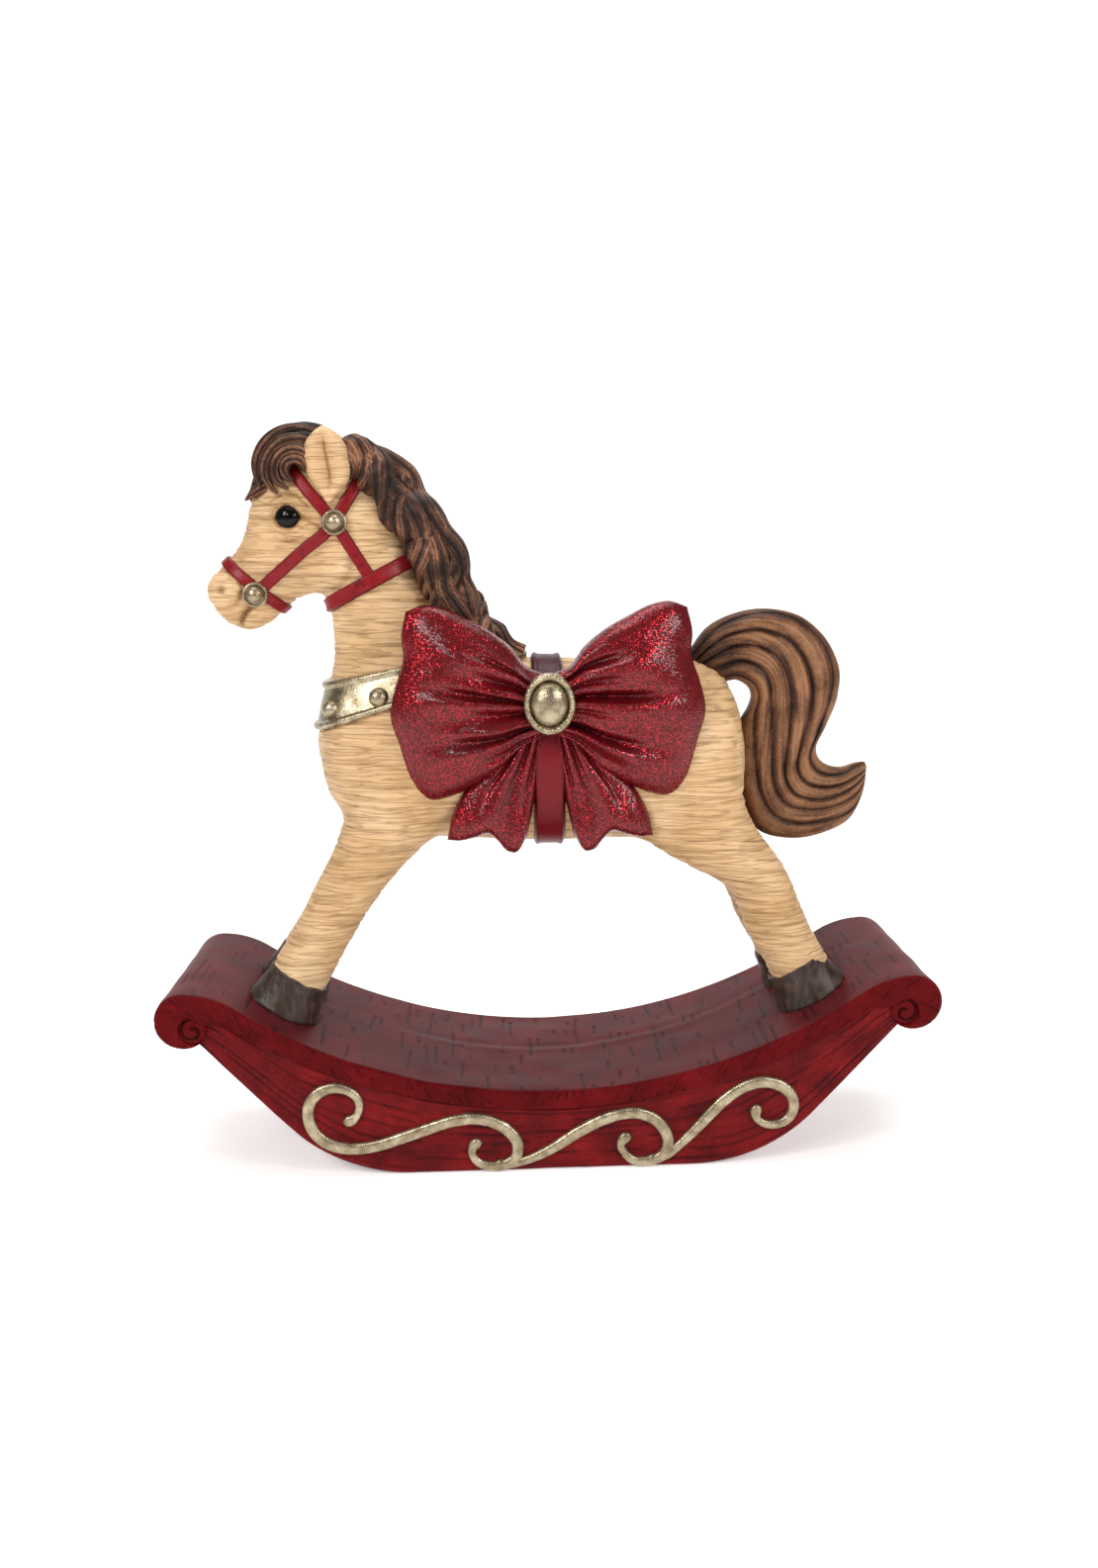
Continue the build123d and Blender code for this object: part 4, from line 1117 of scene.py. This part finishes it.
def add(tree, kind, inputs, out=0, stops=(), **settings):
    """Adds a node and gives back one of its outputs. Each input, by name or number, is a value, an
    sRGB hex colour or another node's output; stops are a ramp's (place, hex) pairs in order."""
    node = tree.nodes.new("ShaderNode" + kind)
    for key, value in settings.items():
        setattr(node, key, value)
    for key, value in inputs.items():
        if isinstance(value, bpy.types.NodeSocket):
            tree.links.new(value, node.inputs[key])
        else:
            node.inputs[key].default_value = linear(value) if isinstance(value, str) else value
    for k, (place, colour) in enumerate(stops):
        element = node.color_ramp.elements[k] if k < 2 else node.color_ramp.elements.new(place)
        element.position = place
        element.color = linear(colour)
    return node.outputs[out] if len(node.outputs) else node


def blank(name):
    """A material with no nodes, its object-space coordinates, and the first and second of the
    flow coordinates that the new pieces carry."""
    material = bpy.data.materials.new(name)
    material.use_nodes = True
    tree = material.node_tree
    tree.nodes.clear()
    place = add(tree, "TexCoord", {}, "Object")
    uv = add(tree, "UVMap", {}, uv_map="flow")
    first, second = [add(tree, "SeparateXYZ", {0: uv}, axis) for axis in (0, 1)]
    return material, tree, place, first, second


def per_mm(*lengths):
    """Noise scale whose blobs are so many millimetres long in each direction."""
    return [1 / (length * MM) for length in lengths]


MIX = {"data_type": "RGBA", "out": 2}
TIMES, LESS = {"operation": "MULTIPLY"}, {"operation": "SUBTRACT"}
TIMES_PLUS = {"operation": "MULTIPLY_ADD"}


def carved_resin():
    """Cast polyresin, tool-marked in the mould, tan base coat with a brown wash wiped off it: the wash
    stays in the grooves and scratches, and rubbed places show the light coat; the grooves and the
    face's creases are also darkened as painted shade; satin."""
    material, tree, place, _, tone = blank("polyresin_cast_washed_tan_painted_shade")
    cloud = add(tree, "TexNoise", {"Vector": place, "Scale": 1 / (22 * MM), "Detail": 3.0})
    thread = add(tree, "Mapping", {0: place, "Scale": per_mm(16, 16, 1.1)})
    thread = add(tree, "TexNoise", {"Vector": thread, "Scale": 1.0, "Detail": 4.0, "Roughness": 0.65})
    long = add(tree, "Mapping", {0: place, "Scale": per_mm(28, 28, 1.9)})
    long = add(tree, "TexNoise", {"Vector": long, "Scale": 1.0, "Detail": 2.0, "Roughness": 0.4})
    line = add(tree, "ValToRGB", {0: long}, stops=(
        (0.465, "#000000"), (0.49, "#FFFFFF"), (0.51, "#FFFFFF"), (0.535, "#000000")))
    slant = add(tree, "Mapping", {0: place, "Rotation": (0, 0.75, 0), "Scale": per_mm(9, 9, 0.5)})
    slant = add(tree, "TexNoise", {"Vector": slant, "Scale": 1.0, "Detail": 2.0})
    scratch = add(tree, "ValToRGB", {0: slant}, stops=((0.62, "#000000"), (0.7, "#FFFFFF")))
    base = add(tree, "ValToRGB", {0: cloud}, stops=((0.3, "#CCA472"), (0.5, "#DAB284"), (0.72, "#E4C298")))
    wash = add(tree, "ValToRGB", {0: thread}, stops=((0.32, "#9A9A9A"), (0.5, "#000000")))
    base = add(tree, "Mix", {0: wash, 6: base, 7: "#B38A58"}, **MIX)
    for mark, strength, brown in ((line, 0.42, "#8E6438"), (scratch, 0.2, "#B48A58")):
        mark = add(tree, "Math", {0: mark, 1: strength}, **TIMES)
        base = add(tree, "Mix", {0: mark, 6: base, 7: brown}, **MIX)
    # Darkened where the carved tone is low: the brown wash in the grooves together with painted shade in
    # them and in the face's creases.
    dark = add(tree, "ValToRGB", {0: tone}, stops=((0.0, "#D8D8D8"), (0.55, "#8A8A8A"), (1.0, "#000000")))
    base = add(tree, "Mix", {0: dark, 6: base, 7: "#8A5E34"}, **MIX)
    relief = add(tree, "Math", {0: thread, 1: add(tree, "Math", {0: line, 1: 0.35}, **TIMES)}, **LESS)
    relief = add(tree, "Math", {0: scratch, 1: -0.2, 2: relief}, **TIMES_PLUS)
    shader = add(tree, "BsdfPrincipled", {
        "Base Color": base, "IOR": 1.5, "Specular IOR Level": 0.35,
        "Roughness": add(tree, "Math", {0: cloud, 1: 0.16, 2: 0.38}, **TIMES_PLUS),
        "Normal": add(tree, "Bump", {"Height": relief, "Distance": 0.6 * MM}),
    })
    add(tree, "OutputMaterial", {0: shader})
    return material


def hair_resin(name, *stops):
    """Cast polyresin hair, near-black brown coat dry-brushed with copper brown: the brush touches the
    ridges and the grooves stay dark, deepened by painted highlight on the ridges and painted shade in
    the grooves; satin with a soft shine along the strands."""
    material, tree, place, _, tone = blank(name)
    patch = add(tree, "TexNoise", {"Vector": place, "Scale": 1 / (13 * MM), "Detail": 3.0})
    speck = add(tree, "TexNoise", {
        "Vector": place, "Scale": 1 / (1.1 * MM), "Detail": 3.0, "Roughness": 0.65,
    })
    # Lighter on the strand ridges, darker in the grooves: the dry brush together with painted highlight and
    # painted shade.
    level = add(tree, "Math", {0: tone, 1: 0.77}, **LESS)
    level = add(tree, "Math", {0: patch, 1: 0.9, 2: level}, **TIMES_PLUS)
    level = add(tree, "Math", {0: speck, 1: 0.5, 2: level}, **TIMES_PLUS)
    shader = add(tree, "BsdfPrincipled", {
        "Base Color": add(tree, "ValToRGB", {0: level}, stops=stops), "IOR": 1.5, "Specular IOR Level": 0.16,
        "Roughness": add(tree, "Math", {0: speck, 1: 0.25, 2: 0.27}, **TIMES_PLUS),
        "Normal": add(tree, "Bump", {"Height": speck, "Distance": 0.16 * MM}),
    })
    add(tree, "OutputMaterial", {0: shader})
    return material


def hoof_resin():
    """Cast polyresin hooves, charcoal brown coat brushed on by hand: streaks and a satin skin."""
    material, tree, place, _, _ = blank("polyresin_cast_charcoal")
    streak = add(tree, "Mapping", {0: place, "Scale": per_mm(2.2, 2.2, 6.6)})
    streak = add(tree, "TexNoise", {"Vector": streak, "Scale": 1.0, "Detail": 4.0})
    shader = add(tree, "BsdfPrincipled", {
        "Base Color": add(tree, "ValToRGB", {0: streak}, stops=(
            (0.3, "#261B16"), (0.55, "#402F27"), (0.75, "#57453B"))),
        "Roughness": add(tree, "Math", {0: streak, 1: 0.3, 2: 0.28}, **TIMES_PLUS),
        "IOR": 1.5, "Specular IOR Level": 0.35,
        "Normal": add(tree, "Bump", {"Height": streak, "Distance": 0.3 * MM}),
    })
    add(tree, "OutputMaterial", {0: shader})
    return material


def crimson_casting():
    """Cast polyresin, wood-grained in the mould, crimson coat with a dark wash: black-red grooves,
    darkened partly by the wash and partly as painted shade, brighter worn ridges and fine pits; satin."""
    material, tree, place, _, tone = blank("polyresin_cast_washed_crimson_painted_shade")
    cloud = add(tree, "TexNoise", {"Vector": place, "Scale": 1 / (15 * MM), "Detail": 4.0})
    speck = add(tree, "TexNoise", {
        "Vector": place, "Scale": 1 / (1.1 * MM), "Detail": 3.0, "Roughness": 0.6,
    })
    wear_and_painted_reflection = add(tree, "ValToRGB", {0: speck}, stops=((0.6, "#000000"), (0.74, "#BCBCBC")))
    base = add(tree, "ValToRGB", {0: cloud}, stops=((0.3, "#4C080C"), (0.5, "#650B10"), (0.7, "#7C1316")))
    base = add(tree, "Mix", {0: wear_and_painted_reflection, 6: base, 7: "#96302E"}, **MIX)
    # Black-red in the grooves: the dark wash together with painted shade.
    dark = add(tree, "ValToRGB", {0: tone}, stops=((0.0, "#E0E0E0"), (0.6, "#909090"), (1.0, "#000000")))
    shader = add(tree, "BsdfPrincipled", {
        "Base Color": add(tree, "Mix", {0: dark, 6: base, 7: "#2A0608"}, **MIX),
        "Roughness": 0.5, "IOR": 1.5, "Specular IOR Level": 0.1,
        "Normal": add(tree, "Bump", {"Height": speck, "Distance": 0.22 * MM}),
    })
    add(tree, "OutputMaterial", {0: shader})
    return material


def crimson_board():
    """The same casting's board: its upper face carries a mottled mauve-red, paler than the edges as a
    painted reflection of the pale backdrop, with thin dark cracks across the grain, its edges a clean
    crimson with short dark nicks; satin."""
    material, tree, place, face, tone = blank("polyresin_cast_worn_board_red_painted_reflection")
    cloud = add(tree, "TexNoise", {"Vector": place, "Scale": 1 / (18 * MM), "Detail": 4.0})
    speck = add(tree, "TexNoise", {
        "Vector": place, "Scale": 1 / (0.8 * MM), "Detail": 3.0, "Roughness": 0.6,
    })
    cross = add(tree, "Mapping", {0: place, "Scale": per_mm(1.1, 14, 3)})
    cross = add(tree, "TexNoise", {"Vector": cross, "Scale": 1.0, "Detail": 2.0})
    split = add(tree, "ValToRGB", {0: cross}, stops=((0.26, "#E0E0E0"), (0.32, "#000000")))
    # The upper face's mauve-red: a painted reflection of the pale backdrop over a mottled red.
    wear_and_painted_reflection = add(tree, "ValToRGB", {0: cloud}, stops=((0.3, "#4A1A1D"), (0.5, "#581F22"), (0.72, "#68292B")))
    wear_and_painted_reflection = add(tree, "Mix", {0: split, 6: wear_and_painted_reflection, 7: "#2E090D"}, **MIX)
    nick = add(tree, "ValToRGB", {0: speck}, stops=((0.6, "#000000"), (0.74, "#B4B4B4")))
    edge = add(tree, "ValToRGB", {0: cloud}, stops=((0.3, "#45080B"), (0.55, "#5C0C10"), (0.75, "#701418")))
    edge = add(tree, "Mix", {0: nick, 6: edge, 7: "#8A2A2A"}, **MIX)
    # Mauve-red on the upper face, crimson on the edges: the paler top is painted reflection.
    upper = add(tree, "ValToRGB", {0: face}, stops=((0.3, "#000000"), (0.7, "#FFFFFF")))
    base = add(tree, "Mix", {0: upper, 6: edge, 7: wear_and_painted_reflection}, **MIX)
    dark = add(tree, "ValToRGB", {0: tone}, stops=((0.0, "#FFFFFF"), (0.7, "#B0B0B0"), (1.0, "#000000")))
    relief = add(tree, "Math", {0: split, 1: -1.0}, **TIMES)
    relief = add(tree, "Math", {0: speck, 1: 0.6, 2: relief}, **TIMES_PLUS)
    shader = add(tree, "BsdfPrincipled", {
        "Base Color": add(tree, "Mix", {0: dark, 6: base, 7: "#230508"}, **MIX),
        "Roughness": add(tree, "Math", {0: cloud, 1: 0.2, 2: 0.3}, **TIMES_PLUS),
        "IOR": 1.5, "Specular IOR Level": 0.04,
        "Normal": add(tree, "Bump", {"Height": relief, "Distance": 0.25 * MM}),
    })
    add(tree, "OutputMaterial", {0: shader})
    return material


def strap_paint(name, dark, body, light):
    """Straps cast in one with the horse and brushed with satin enamel: the brush leaves streaks, both
    edges are painted darker as painted shade, and below the bow's knot the coat is a clean crimson."""
    material, tree, place, _, across = blank(name)
    cloud = add(tree, "TexNoise", {"Vector": place, "Scale": 1 / (3.5 * MM), "Detail": 4.0})
    base = add(tree, "ValToRGB", {0: cloud}, stops=((0.2, dark), (0.42, body), (0.6, body), (0.85, light)))
    high = add(tree, "SeparateXYZ", {0: place}, 2)
    high = add(tree, "MapRange", {0: high, 1: 165 * MM, 2: 185 * MM})
    base = add(tree, "Mix", {0: high, 6: "#6E1018", 7: base}, **MIX)
    # Darker along both edges: painted shade where the strap meets the body.
    edge = add(tree, "Math", {0: add(tree, "Math", {0: across, 1: 0.5}, **LESS)}, operation="ABSOLUTE")
    edge = add(tree, "ValToRGB", {0: edge}, stops=((0.32, "#000000"), (0.5, "#D0D0D0")))
    shader = add(tree, "BsdfPrincipled", {
        "Base Color": add(tree, "Mix", {0: edge, 6: base, 7: dark}, **MIX),
        "Roughness": 0.34, "IOR": 1.5, "Specular IOR Level": 0.2,
        "Normal": add(tree, "Bump", {"Height": cloud, "Distance": 0.25 * MM}),
    })
    add(tree, "OutputMaterial", {0: shader})
    return material


def glitter_lacquer():
    """Deep red glitter lacquer over cast polyresin: tiny metal flakes, each tilted its own way,
    flash only where they throw a lamp back, so they gather in the highlights; a clear coat over
    them gives a crisp shine along the folds, and the folds are painted darker as painted shade.
    Real flakes are 0.1 to 0.2 mm; they are drawn at 0.3 mm so that they show."""
    material, tree, place, _, tone = blank("glitter_lacquer_deep_red")
    cell = add(tree, "TexVoronoi", {"Vector": place, "Scale": 1 / (0.34 * MM)}, "Color")
    flake = add(tree, "SeparateColor", {0: cell}, 0)
    flake = add(tree, "ValToRGB", {0: flake}, stops=((0.68, "#000000"), (0.72, "#FFFFFF")))
    base = add(tree, "ValToRGB", {0: add(tree, "SeparateColor", {0: cell}, 1)}, stops=(
        (0.0, "#3C0409"), (0.6, "#58060D"), (1.0, "#6A0911")))
    # Darker into the folds: painted shade.
    deep = add(tree, "ValToRGB", {0: tone}, stops=((0.0, "#FFFFFF"), (0.8, "#202020"), (1.0, "#000000")))
    base = add(tree, "Mix", {0: deep, 6: base, 7: "#220206"}, **MIX)
    bright = add(tree, "Math", {0: flake, 1: 0.8}, **TIMES)
    base = add(tree, "Mix", {0: bright, 6: base, 7: "#B0262F"}, **MIX)
    tilt = add(tree, "VectorMath", {0: cell, 1: (0.5, 0.5, 0.5)}, **LESS)
    facing = add(tree, "NewGeometry", {}, "Normal")
    flat = add(tree, "VectorMath", {0: tilt, 1: (0.55, 0.55, 0.55), 2: facing}, **TIMES_PLUS)
    skin = add(tree, "VectorMath", {0: tilt, 1: (0.26, 0.26, 0.26), 2: facing}, **TIMES_PLUS)
    shader = add(tree, "BsdfPrincipled", {
        "Base Color": base, "Metallic": add(tree, "Math", {0: flake, 1: 0.85}, **TIMES),
        "Roughness": add(tree, "Math", {0: flake, 1: -0.28, 2: 0.5}, **TIMES_PLUS),
        "IOR": 1.5, "Specular IOR Level": 0.06, "Coat Weight": 0.5, "Coat Roughness": 0.12,
        "Normal": add(tree, "VectorMath", {0: flat}, operation="NORMALIZE"),
        "Coat Normal": add(tree, "VectorMath", {0: skin}, operation="NORMALIZE"),
    })
    add(tree, "OutputMaterial", {0: shader})
    return material


def gold_paint():
    """Champagne gold metallic paint, brushed on cast polyresin: a soft metal sheen, slightly
    pitted, browner where it is thin."""
    material, tree, place, _, _ = blank("metallic_paint_champagne_gold")
    cloud = add(tree, "TexNoise", {"Vector": place, "Scale": 1 / (4 * MM), "Detail": 4.0})
    pits = add(tree, "TexNoise", {
        "Vector": place, "Scale": 1 / (0.6 * MM), "Detail": 3.0, "Roughness": 0.65,
    })
    thin = add(tree, "ValToRGB", {0: pits}, stops=((0.3, "#9A9A9A"), (0.4, "#000000")))
    base = add(tree, "ValToRGB", {0: cloud}, stops=((0.3, "#80705A"), (0.5, "#A29378"), (0.75, "#C6BAA0")))
    shader = add(tree, "BsdfPrincipled", {
        "Base Color": add(tree, "Mix", {0: thin, 6: base, 7: "#5E4B2E"}, **MIX), "Metallic": 0.85,
        "Roughness": add(tree, "Math", {0: pits, 1: 0.3, 2: 0.12}, **TIMES_PLUS),
        "Normal": add(tree, "Bump", {"Height": pits, "Distance": 0.13 * MM}),
    })
    add(tree, "OutputMaterial", {0: shader})
    return material


def eye_enamel():
    """Gloss black enamel over the cast eye, with a dark brown bloom where the brush left it thin."""
    material, tree, place, _, _ = blank("enamel_gloss_black")
    cloud = add(tree, "TexNoise", {"Vector": place, "Scale": 1 / (2 * MM)})
    shader = add(tree, "BsdfPrincipled", {
        "Base Color": add(tree, "ValToRGB", {0: cloud}, stops=((0.35, "#050505"), (0.75, "#140D0B"))),
        "Roughness": 0.06, "IOR": 1.5, "Specular IOR Level": 0.2,
    })
    add(tree, "OutputMaterial", {0: shader})
    return material


def studio_paper():
    """Matt white seamless paper: no gloss, a very faint mottle."""
    material, tree, place, _, _ = blank("paper_seamless_white")
    cloud = add(tree, "TexNoise", {"Vector": place, "Scale": 1 / (120 * MM)})
    shader = add(tree, "BsdfPrincipled", {
        "Base Color": add(tree, "ValToRGB", {0: cloud}, stops=((0.3, "#F4F3F1"), (0.7, "#F8F7F5"))),
        "Roughness": 0.9, "IOR": 1.3, "Emission Color": "#FFFFFF", "Emission Strength": 0.34,
    })
    add(tree, "OutputMaterial", {0: shader})
    return material


TAN, HOOF = carved_resin(), hoof_resin()
HAIR = hair_resin(
    "polyresin_cast_dry_brushed_dark_brown_painted_highlight",
    (0.15, "#140C0A"), (0.52, "#2E1E18"), (0.72, "#4A3025"), (0.88, "#78503A"), (1.0, "#94684C"),
)
TAIL_HAIR = hair_resin(
    "polyresin_cast_dry_brushed_chestnut_painted_highlight",
    (0.12, "#160D0A"), (0.4, "#332018"), (0.6, "#553726"), (0.8, "#785238"), (1.0, "#94694A"),
)
CASTING, BOARD_RED = crimson_casting(), crimson_board()
STRAP = strap_paint("enamel_satin_strap_red", "#420A0D", "#7E151B", "#962028")
GIRTH = strap_paint("enamel_satin_girth_plum", "#1E070B", "#43161D", "#58242C")
GLITTER, GOLD, EYE = glitter_lacquer(), gold_paint(), eye_enamel()


# ------------------------------------------------------------------ the object, piece by piece
THROAT_A, THROAT_B = (-50.5, 242.5), (-84.5, 225.0)
throat_run = unit(np.array(THROAT_B) - np.array(THROAT_A))


def above_throat(x, z):
    """Distance over the throat strap's plane, along the neck."""
    return (x - THROAT_A[0]) * throat_run[1] - (z - THROAT_A[1]) * throat_run[0]


body_piece(
    "head_carved", (-137, 0, 212), (-42, 17, 286), 0.5, lambda x, z: -above_throat(x, z),
    ["head"], TAN,
)
body_piece(
    "forehand_carved", (-118, 0, 60), (4, 31.5, 252), 0.77,
    lambda x, z: np.maximum(above_throat(x, z), x - BOW_MIDDLE),
    ["neck", "torso", "front_leg_left", "front_leg_right"], TAN,
)
body_piece(
    "hindquarters_carved", (-1, 0, 60), (119, 31.5, 206), 0.74, lambda x, z: BOW_MIDDLE - x,
    ["hind_leg_left", "hind_leg_right"], TAN,
)

pair("ear_leaf", ear_leaf(), TAN, "ear")

spot, normal = on_left_side(*EYE_AT)
ball = button(spot - normal * 0.9, normal + np.array([-0.12, 0, 0.05]), [
    (4.7, -2), (4.7, 0.2), (4.4, 1.2), (3.7, 2.1), (2.6, 2.8), (1.4, 3.2), (0.03, 3.35)
], spokes=48, oval=(1.05, 0.96))
pair("eye_glossy", ball, EYE, "eye", flow=False)

for end, name in ((-1, "front"), (1, "hind")):
    pair("hoof_painted_" + name, hoof(end), HOOF, "hoof_" + name, flow=False)

make_piece("mane_twisted", mane_core(), HAIR, ["mane"])
for hand, side in ((-1, "left"), (1, "right")):
    make_piece("mane_locks_" + side, joined(mane_locks(hand)), HAIR, ())
make_piece("forelock_swept", forelock_curl(), HAIR, ["forelock"])
make_piece("forelock_swirl_locks", joined(forelock_locks(-1) + forelock_locks(1)), HAIR, ())
make_piece("tail_plume", tail_plume(), TAIL_HAIR, ["tail"])

# Bridle, collar and girth
BRIDLE, THICK = 5.0, 1.5
skin = ring_strap((-113.8, 233.3), (-11.7, 9.9), 4.8, THICK)
make_piece("noseband_ring", skin, STRAP, ["noseband", "chin_strap"])
skin = ring_strap(CHEEK, (-15.5, 19.2), BRIDLE, THICK, (-0.06, np.pi + 0.06), 110)
make_piece("browband_arc", skin, STRAP, ["browband"])
skin = ring_strap(CHEEK, (9.0, 14.6), BRIDLE, THICK, (-0.06, np.pi + 0.06), 110)
make_piece("crown_strap_arc", skin, STRAP, ["crown_strap"])
skin = ring_strap((-67.5, 233.8), (17, 8.75), 6.2, 1.7, lip=0.35)
make_piece("throat_strap_ring", skin, STRAP, ["throat_strap"])
cheek_line = [(-80.2, 257.2), (-84, 253.2), (-92, 247), (-100, 240.4), (-107, 234.6), (-112.8, 229.8)]
drop_line = [(-79.4, 256), (-76, 250), (-72, 243.5), (-68.6, 238), (-66.5, 234.5)]
for line, name in ((cheek_line, "cheek_strap"), (drop_line, "drop_strap")):
    pair(name + "_curved", side_strap(line, BRIDLE, THICK), STRAP, name)

BOSS = [
    (5.0, -2.5), (5.0, 2.0), (4.85, 2.55), (4.5, 2.8), (4.1, 2.75), (3.8, 2.35), (3.65, 2.15), (3.6, 2.5),
    (3.3, 3.5), (2.7, 4.4), (1.9, 5.05), (1.0, 5.4), (0.03, 5.5),
]
for place, name in ((CHEEK, "cheek_boss"), (NOSE, "nose_boss")):
    pair(name + "_domed", boss_on(place, BOSS), GOLD, name, flow=False)

make_piece("breast_collar_beaded", collar_band(), GOLD, ["breast_collar"])
STUD = [(3.9, -1.5), (3.9, 0.4), (3.6, 1.4), (2.9, 2.4), (1.9, 3.1), (0.9, 3.4), (0.03, 3.5)]
studs = [boss_on(place, STUD, 1.0) for place in ((-83.4, 184.2), (-64.5, 189.2))]
skin = joined(studs + [mirrored(one) for one in studs])
make_piece("collar_studs_domed", skin, GOLD, ["collar_studs"], flow=False)
skin = ring_strap((BOW_MIDDLE, 165), (0, 1), 12.5, 1.5, count=200, rows=21, lip=0.7)
make_piece("girth_strap_ring", skin, GIRTH, ["girth_strap"])

# Bow and medallion
for side, name in ((-1, "front"), (1, "rear")):
    make_piece(f"bow_{name}_loop_folded", bow_loop(side), GLITTER, [f"bow_{name}_loop"])
    make_piece(f"bow_{name}_tail_notched", bow_tail(side), GLITTER, [f"bow_{name}_tail"])
RIM = [
    (9.6, -3), (9.85, -0.5), (9.85, 1.6), (9.6, 2.5), (9.1, 3.0), (8.5, 3.1), (8.0, 2.8), (7.6, 2.2),
    (7.3, 1.2), (6.9, -0.4), (3, -0.6), (0.05, -0.6),
]
skin = button(MEDAL_AT, (0, -1, 0), RIM, 120, (1, 11.9 / 9.85))
beat = np.arctan2(skin[0][:, 2] - MEDAL_AT[2], skin[0][:, 0] - MEDAL_AT[0])
skin[0][:, 1] -= 0.22 * np.sin(30 * beat) * (skin[0][:, 1] < MEDAL_AT[1] - 2.4)
make_piece("medallion_rim_milled", skin, GOLD, ["medallion_rim"], flow=False)
turns = np.linspace(0, np.pi / 2, 26)
dome = [(7.3 * math.cos(a), 5.6 * math.sin(a) ** 0.95) for a in turns[:-1]] + [(0.03, 5.6)]
skin = button(MEDAL_AT, (0, -1, 0), [(7.3, -1.2)] + dome, 96, (1, 8.75 / 7.25))
make_piece("medallion_dome_cabochon", skin, GOLD, ["medallion_dome"], flow=False)

# Rocker
make_piece("rocker_board_scrolled", rocker_board(), BOARD_RED, ["rocker_deck"])
make_piece("rocker_roll_cores", joined([roll_core(-1), roll_core(1)]), BOARD_RED, ())
make_piece("rocker_casting_grooved", rocker_casting(), CASTING, ["rocker_body"])
skin = joined([gold_strand(path) for path in ORNAMENT])
pair("wave_scroll", skin, GOLD, "scroll_ornament", flow=False)


# ------------------------------------------------------------------ floor, light, camera
def paper_sweep(nx=40, ny=60):
    """A sheet of paper: flat under the object, then curving up behind it with a 900 mm radius."""
    x = np.linspace(-3500, 3500, nx)[:, None]
    run = np.linspace(-2500, 4200, ny)[None, :]
    turn = np.clip((run - 1500) / 900, 0, np.pi / 2)
    y = np.minimum(run, 1500) + 900 * np.sin(turn)
    z = 900 * (1 - np.cos(turn)) + np.maximum(run - 1500 - 900 * np.pi / 2, 0)
    points = np.stack(np.broadcast_arrays(x, y, z), -1)
    mesh = bpy.data.meshes.new("paper_sweep")
    mesh.from_pydata((points.reshape(-1, 3) * MM).tolist(), [], grid_faces(nx, ny).tolist())
    mesh.polygons.foreach_set("use_smooth", np.ones(len(mesh.polygons), bool))
    mesh.materials.append(studio_paper())
    floor = bpy.data.objects.new("paper_sweep", mesh)
    bpy.context.scene.collection.objects.link(floor)


def softbox(name, place, aim, size, power):
    """A square soft light aimed at a point."""
    data = bpy.data.lights.new(name, "AREA")
    data.shape = "RECTANGLE"
    data.size, data.size_y = size
    data.energy = power
    lamp = bpy.data.objects.new(name, data)
    lamp.location = place
    lamp.rotation_euler = (Vector(aim) - Vector(place)).to_track_quat("-Z", "Y").to_euler()
    bpy.context.scene.collection.objects.link(lamp)


paper_sweep()
softbox("key_left", (-0.9, -0.9, 1.0), (0, 0, 0.16), (0.4, 0.55), 10.8)
softbox("glint_left", (-0.42, -0.95, 0.75), (0, 0, 0.18), (0.14, 0.14), 1.7)
softbox("key_right", (1.0, -0.8, 0.8), (0, 0, 0.16), (0.3, 0.5), 7.8)
softbox("glint_right", (0.55, -0.95, 0.6), (0, 0, 0.18), (0.14, 0.14), 1.2)
softbox("backdrop_wash", (0, 0.9, 2.3), (0, 2.6, 0.9), (2.5, 1.0), 34)
softbox("top", (0.0, 0.1, 1.4), (0, 0, 0.1), (1.0, 0.7), 8)
world = bpy.data.worlds.new("studio_white")
world.use_nodes = True
world.node_tree.nodes["Background"].inputs[0].default_value = linear("#FFFFFF")
world.node_tree.nodes["Background"].inputs[1].default_value = 0.17
bpy.context.scene.world = world
bpy.context.scene.view_settings.view_transform = "Standard"
bpy.context.scene.view_settings.look = "None"

yaw, pitch, roll = math.radians(-1.9), math.radians(9.97), math.radians(-0.96)
ahead = Vector((-math.sin(yaw) * math.cos(pitch), math.cos(yaw) * math.cos(pitch), -math.sin(pitch)))
level = Vector((math.cos(yaw), math.sin(yaw), 0))
above = level.cross(ahead)
right = level * math.cos(roll) + above * math.sin(roll)
above = above * math.cos(roll) - level * math.sin(roll)
lens = bpy.data.cameras.new("camera")
lens.lens, lens.sensor_width, lens.sensor_fit = 32.8, 36.0, "AUTO"
camera = bpy.data.objects.new("camera", lens)
camera.matrix_world = Matrix((
    (right[0], above[0], -ahead[0], -0.0172),
    (right[1], above[1], -ahead[1], -0.5811),
    (right[2], above[2], -ahead[2], 0.2517),
    (0, 0, 0, 1),
))
bpy.context.scene.collection.objects.link(camera)
bpy.context.scene.camera = camera
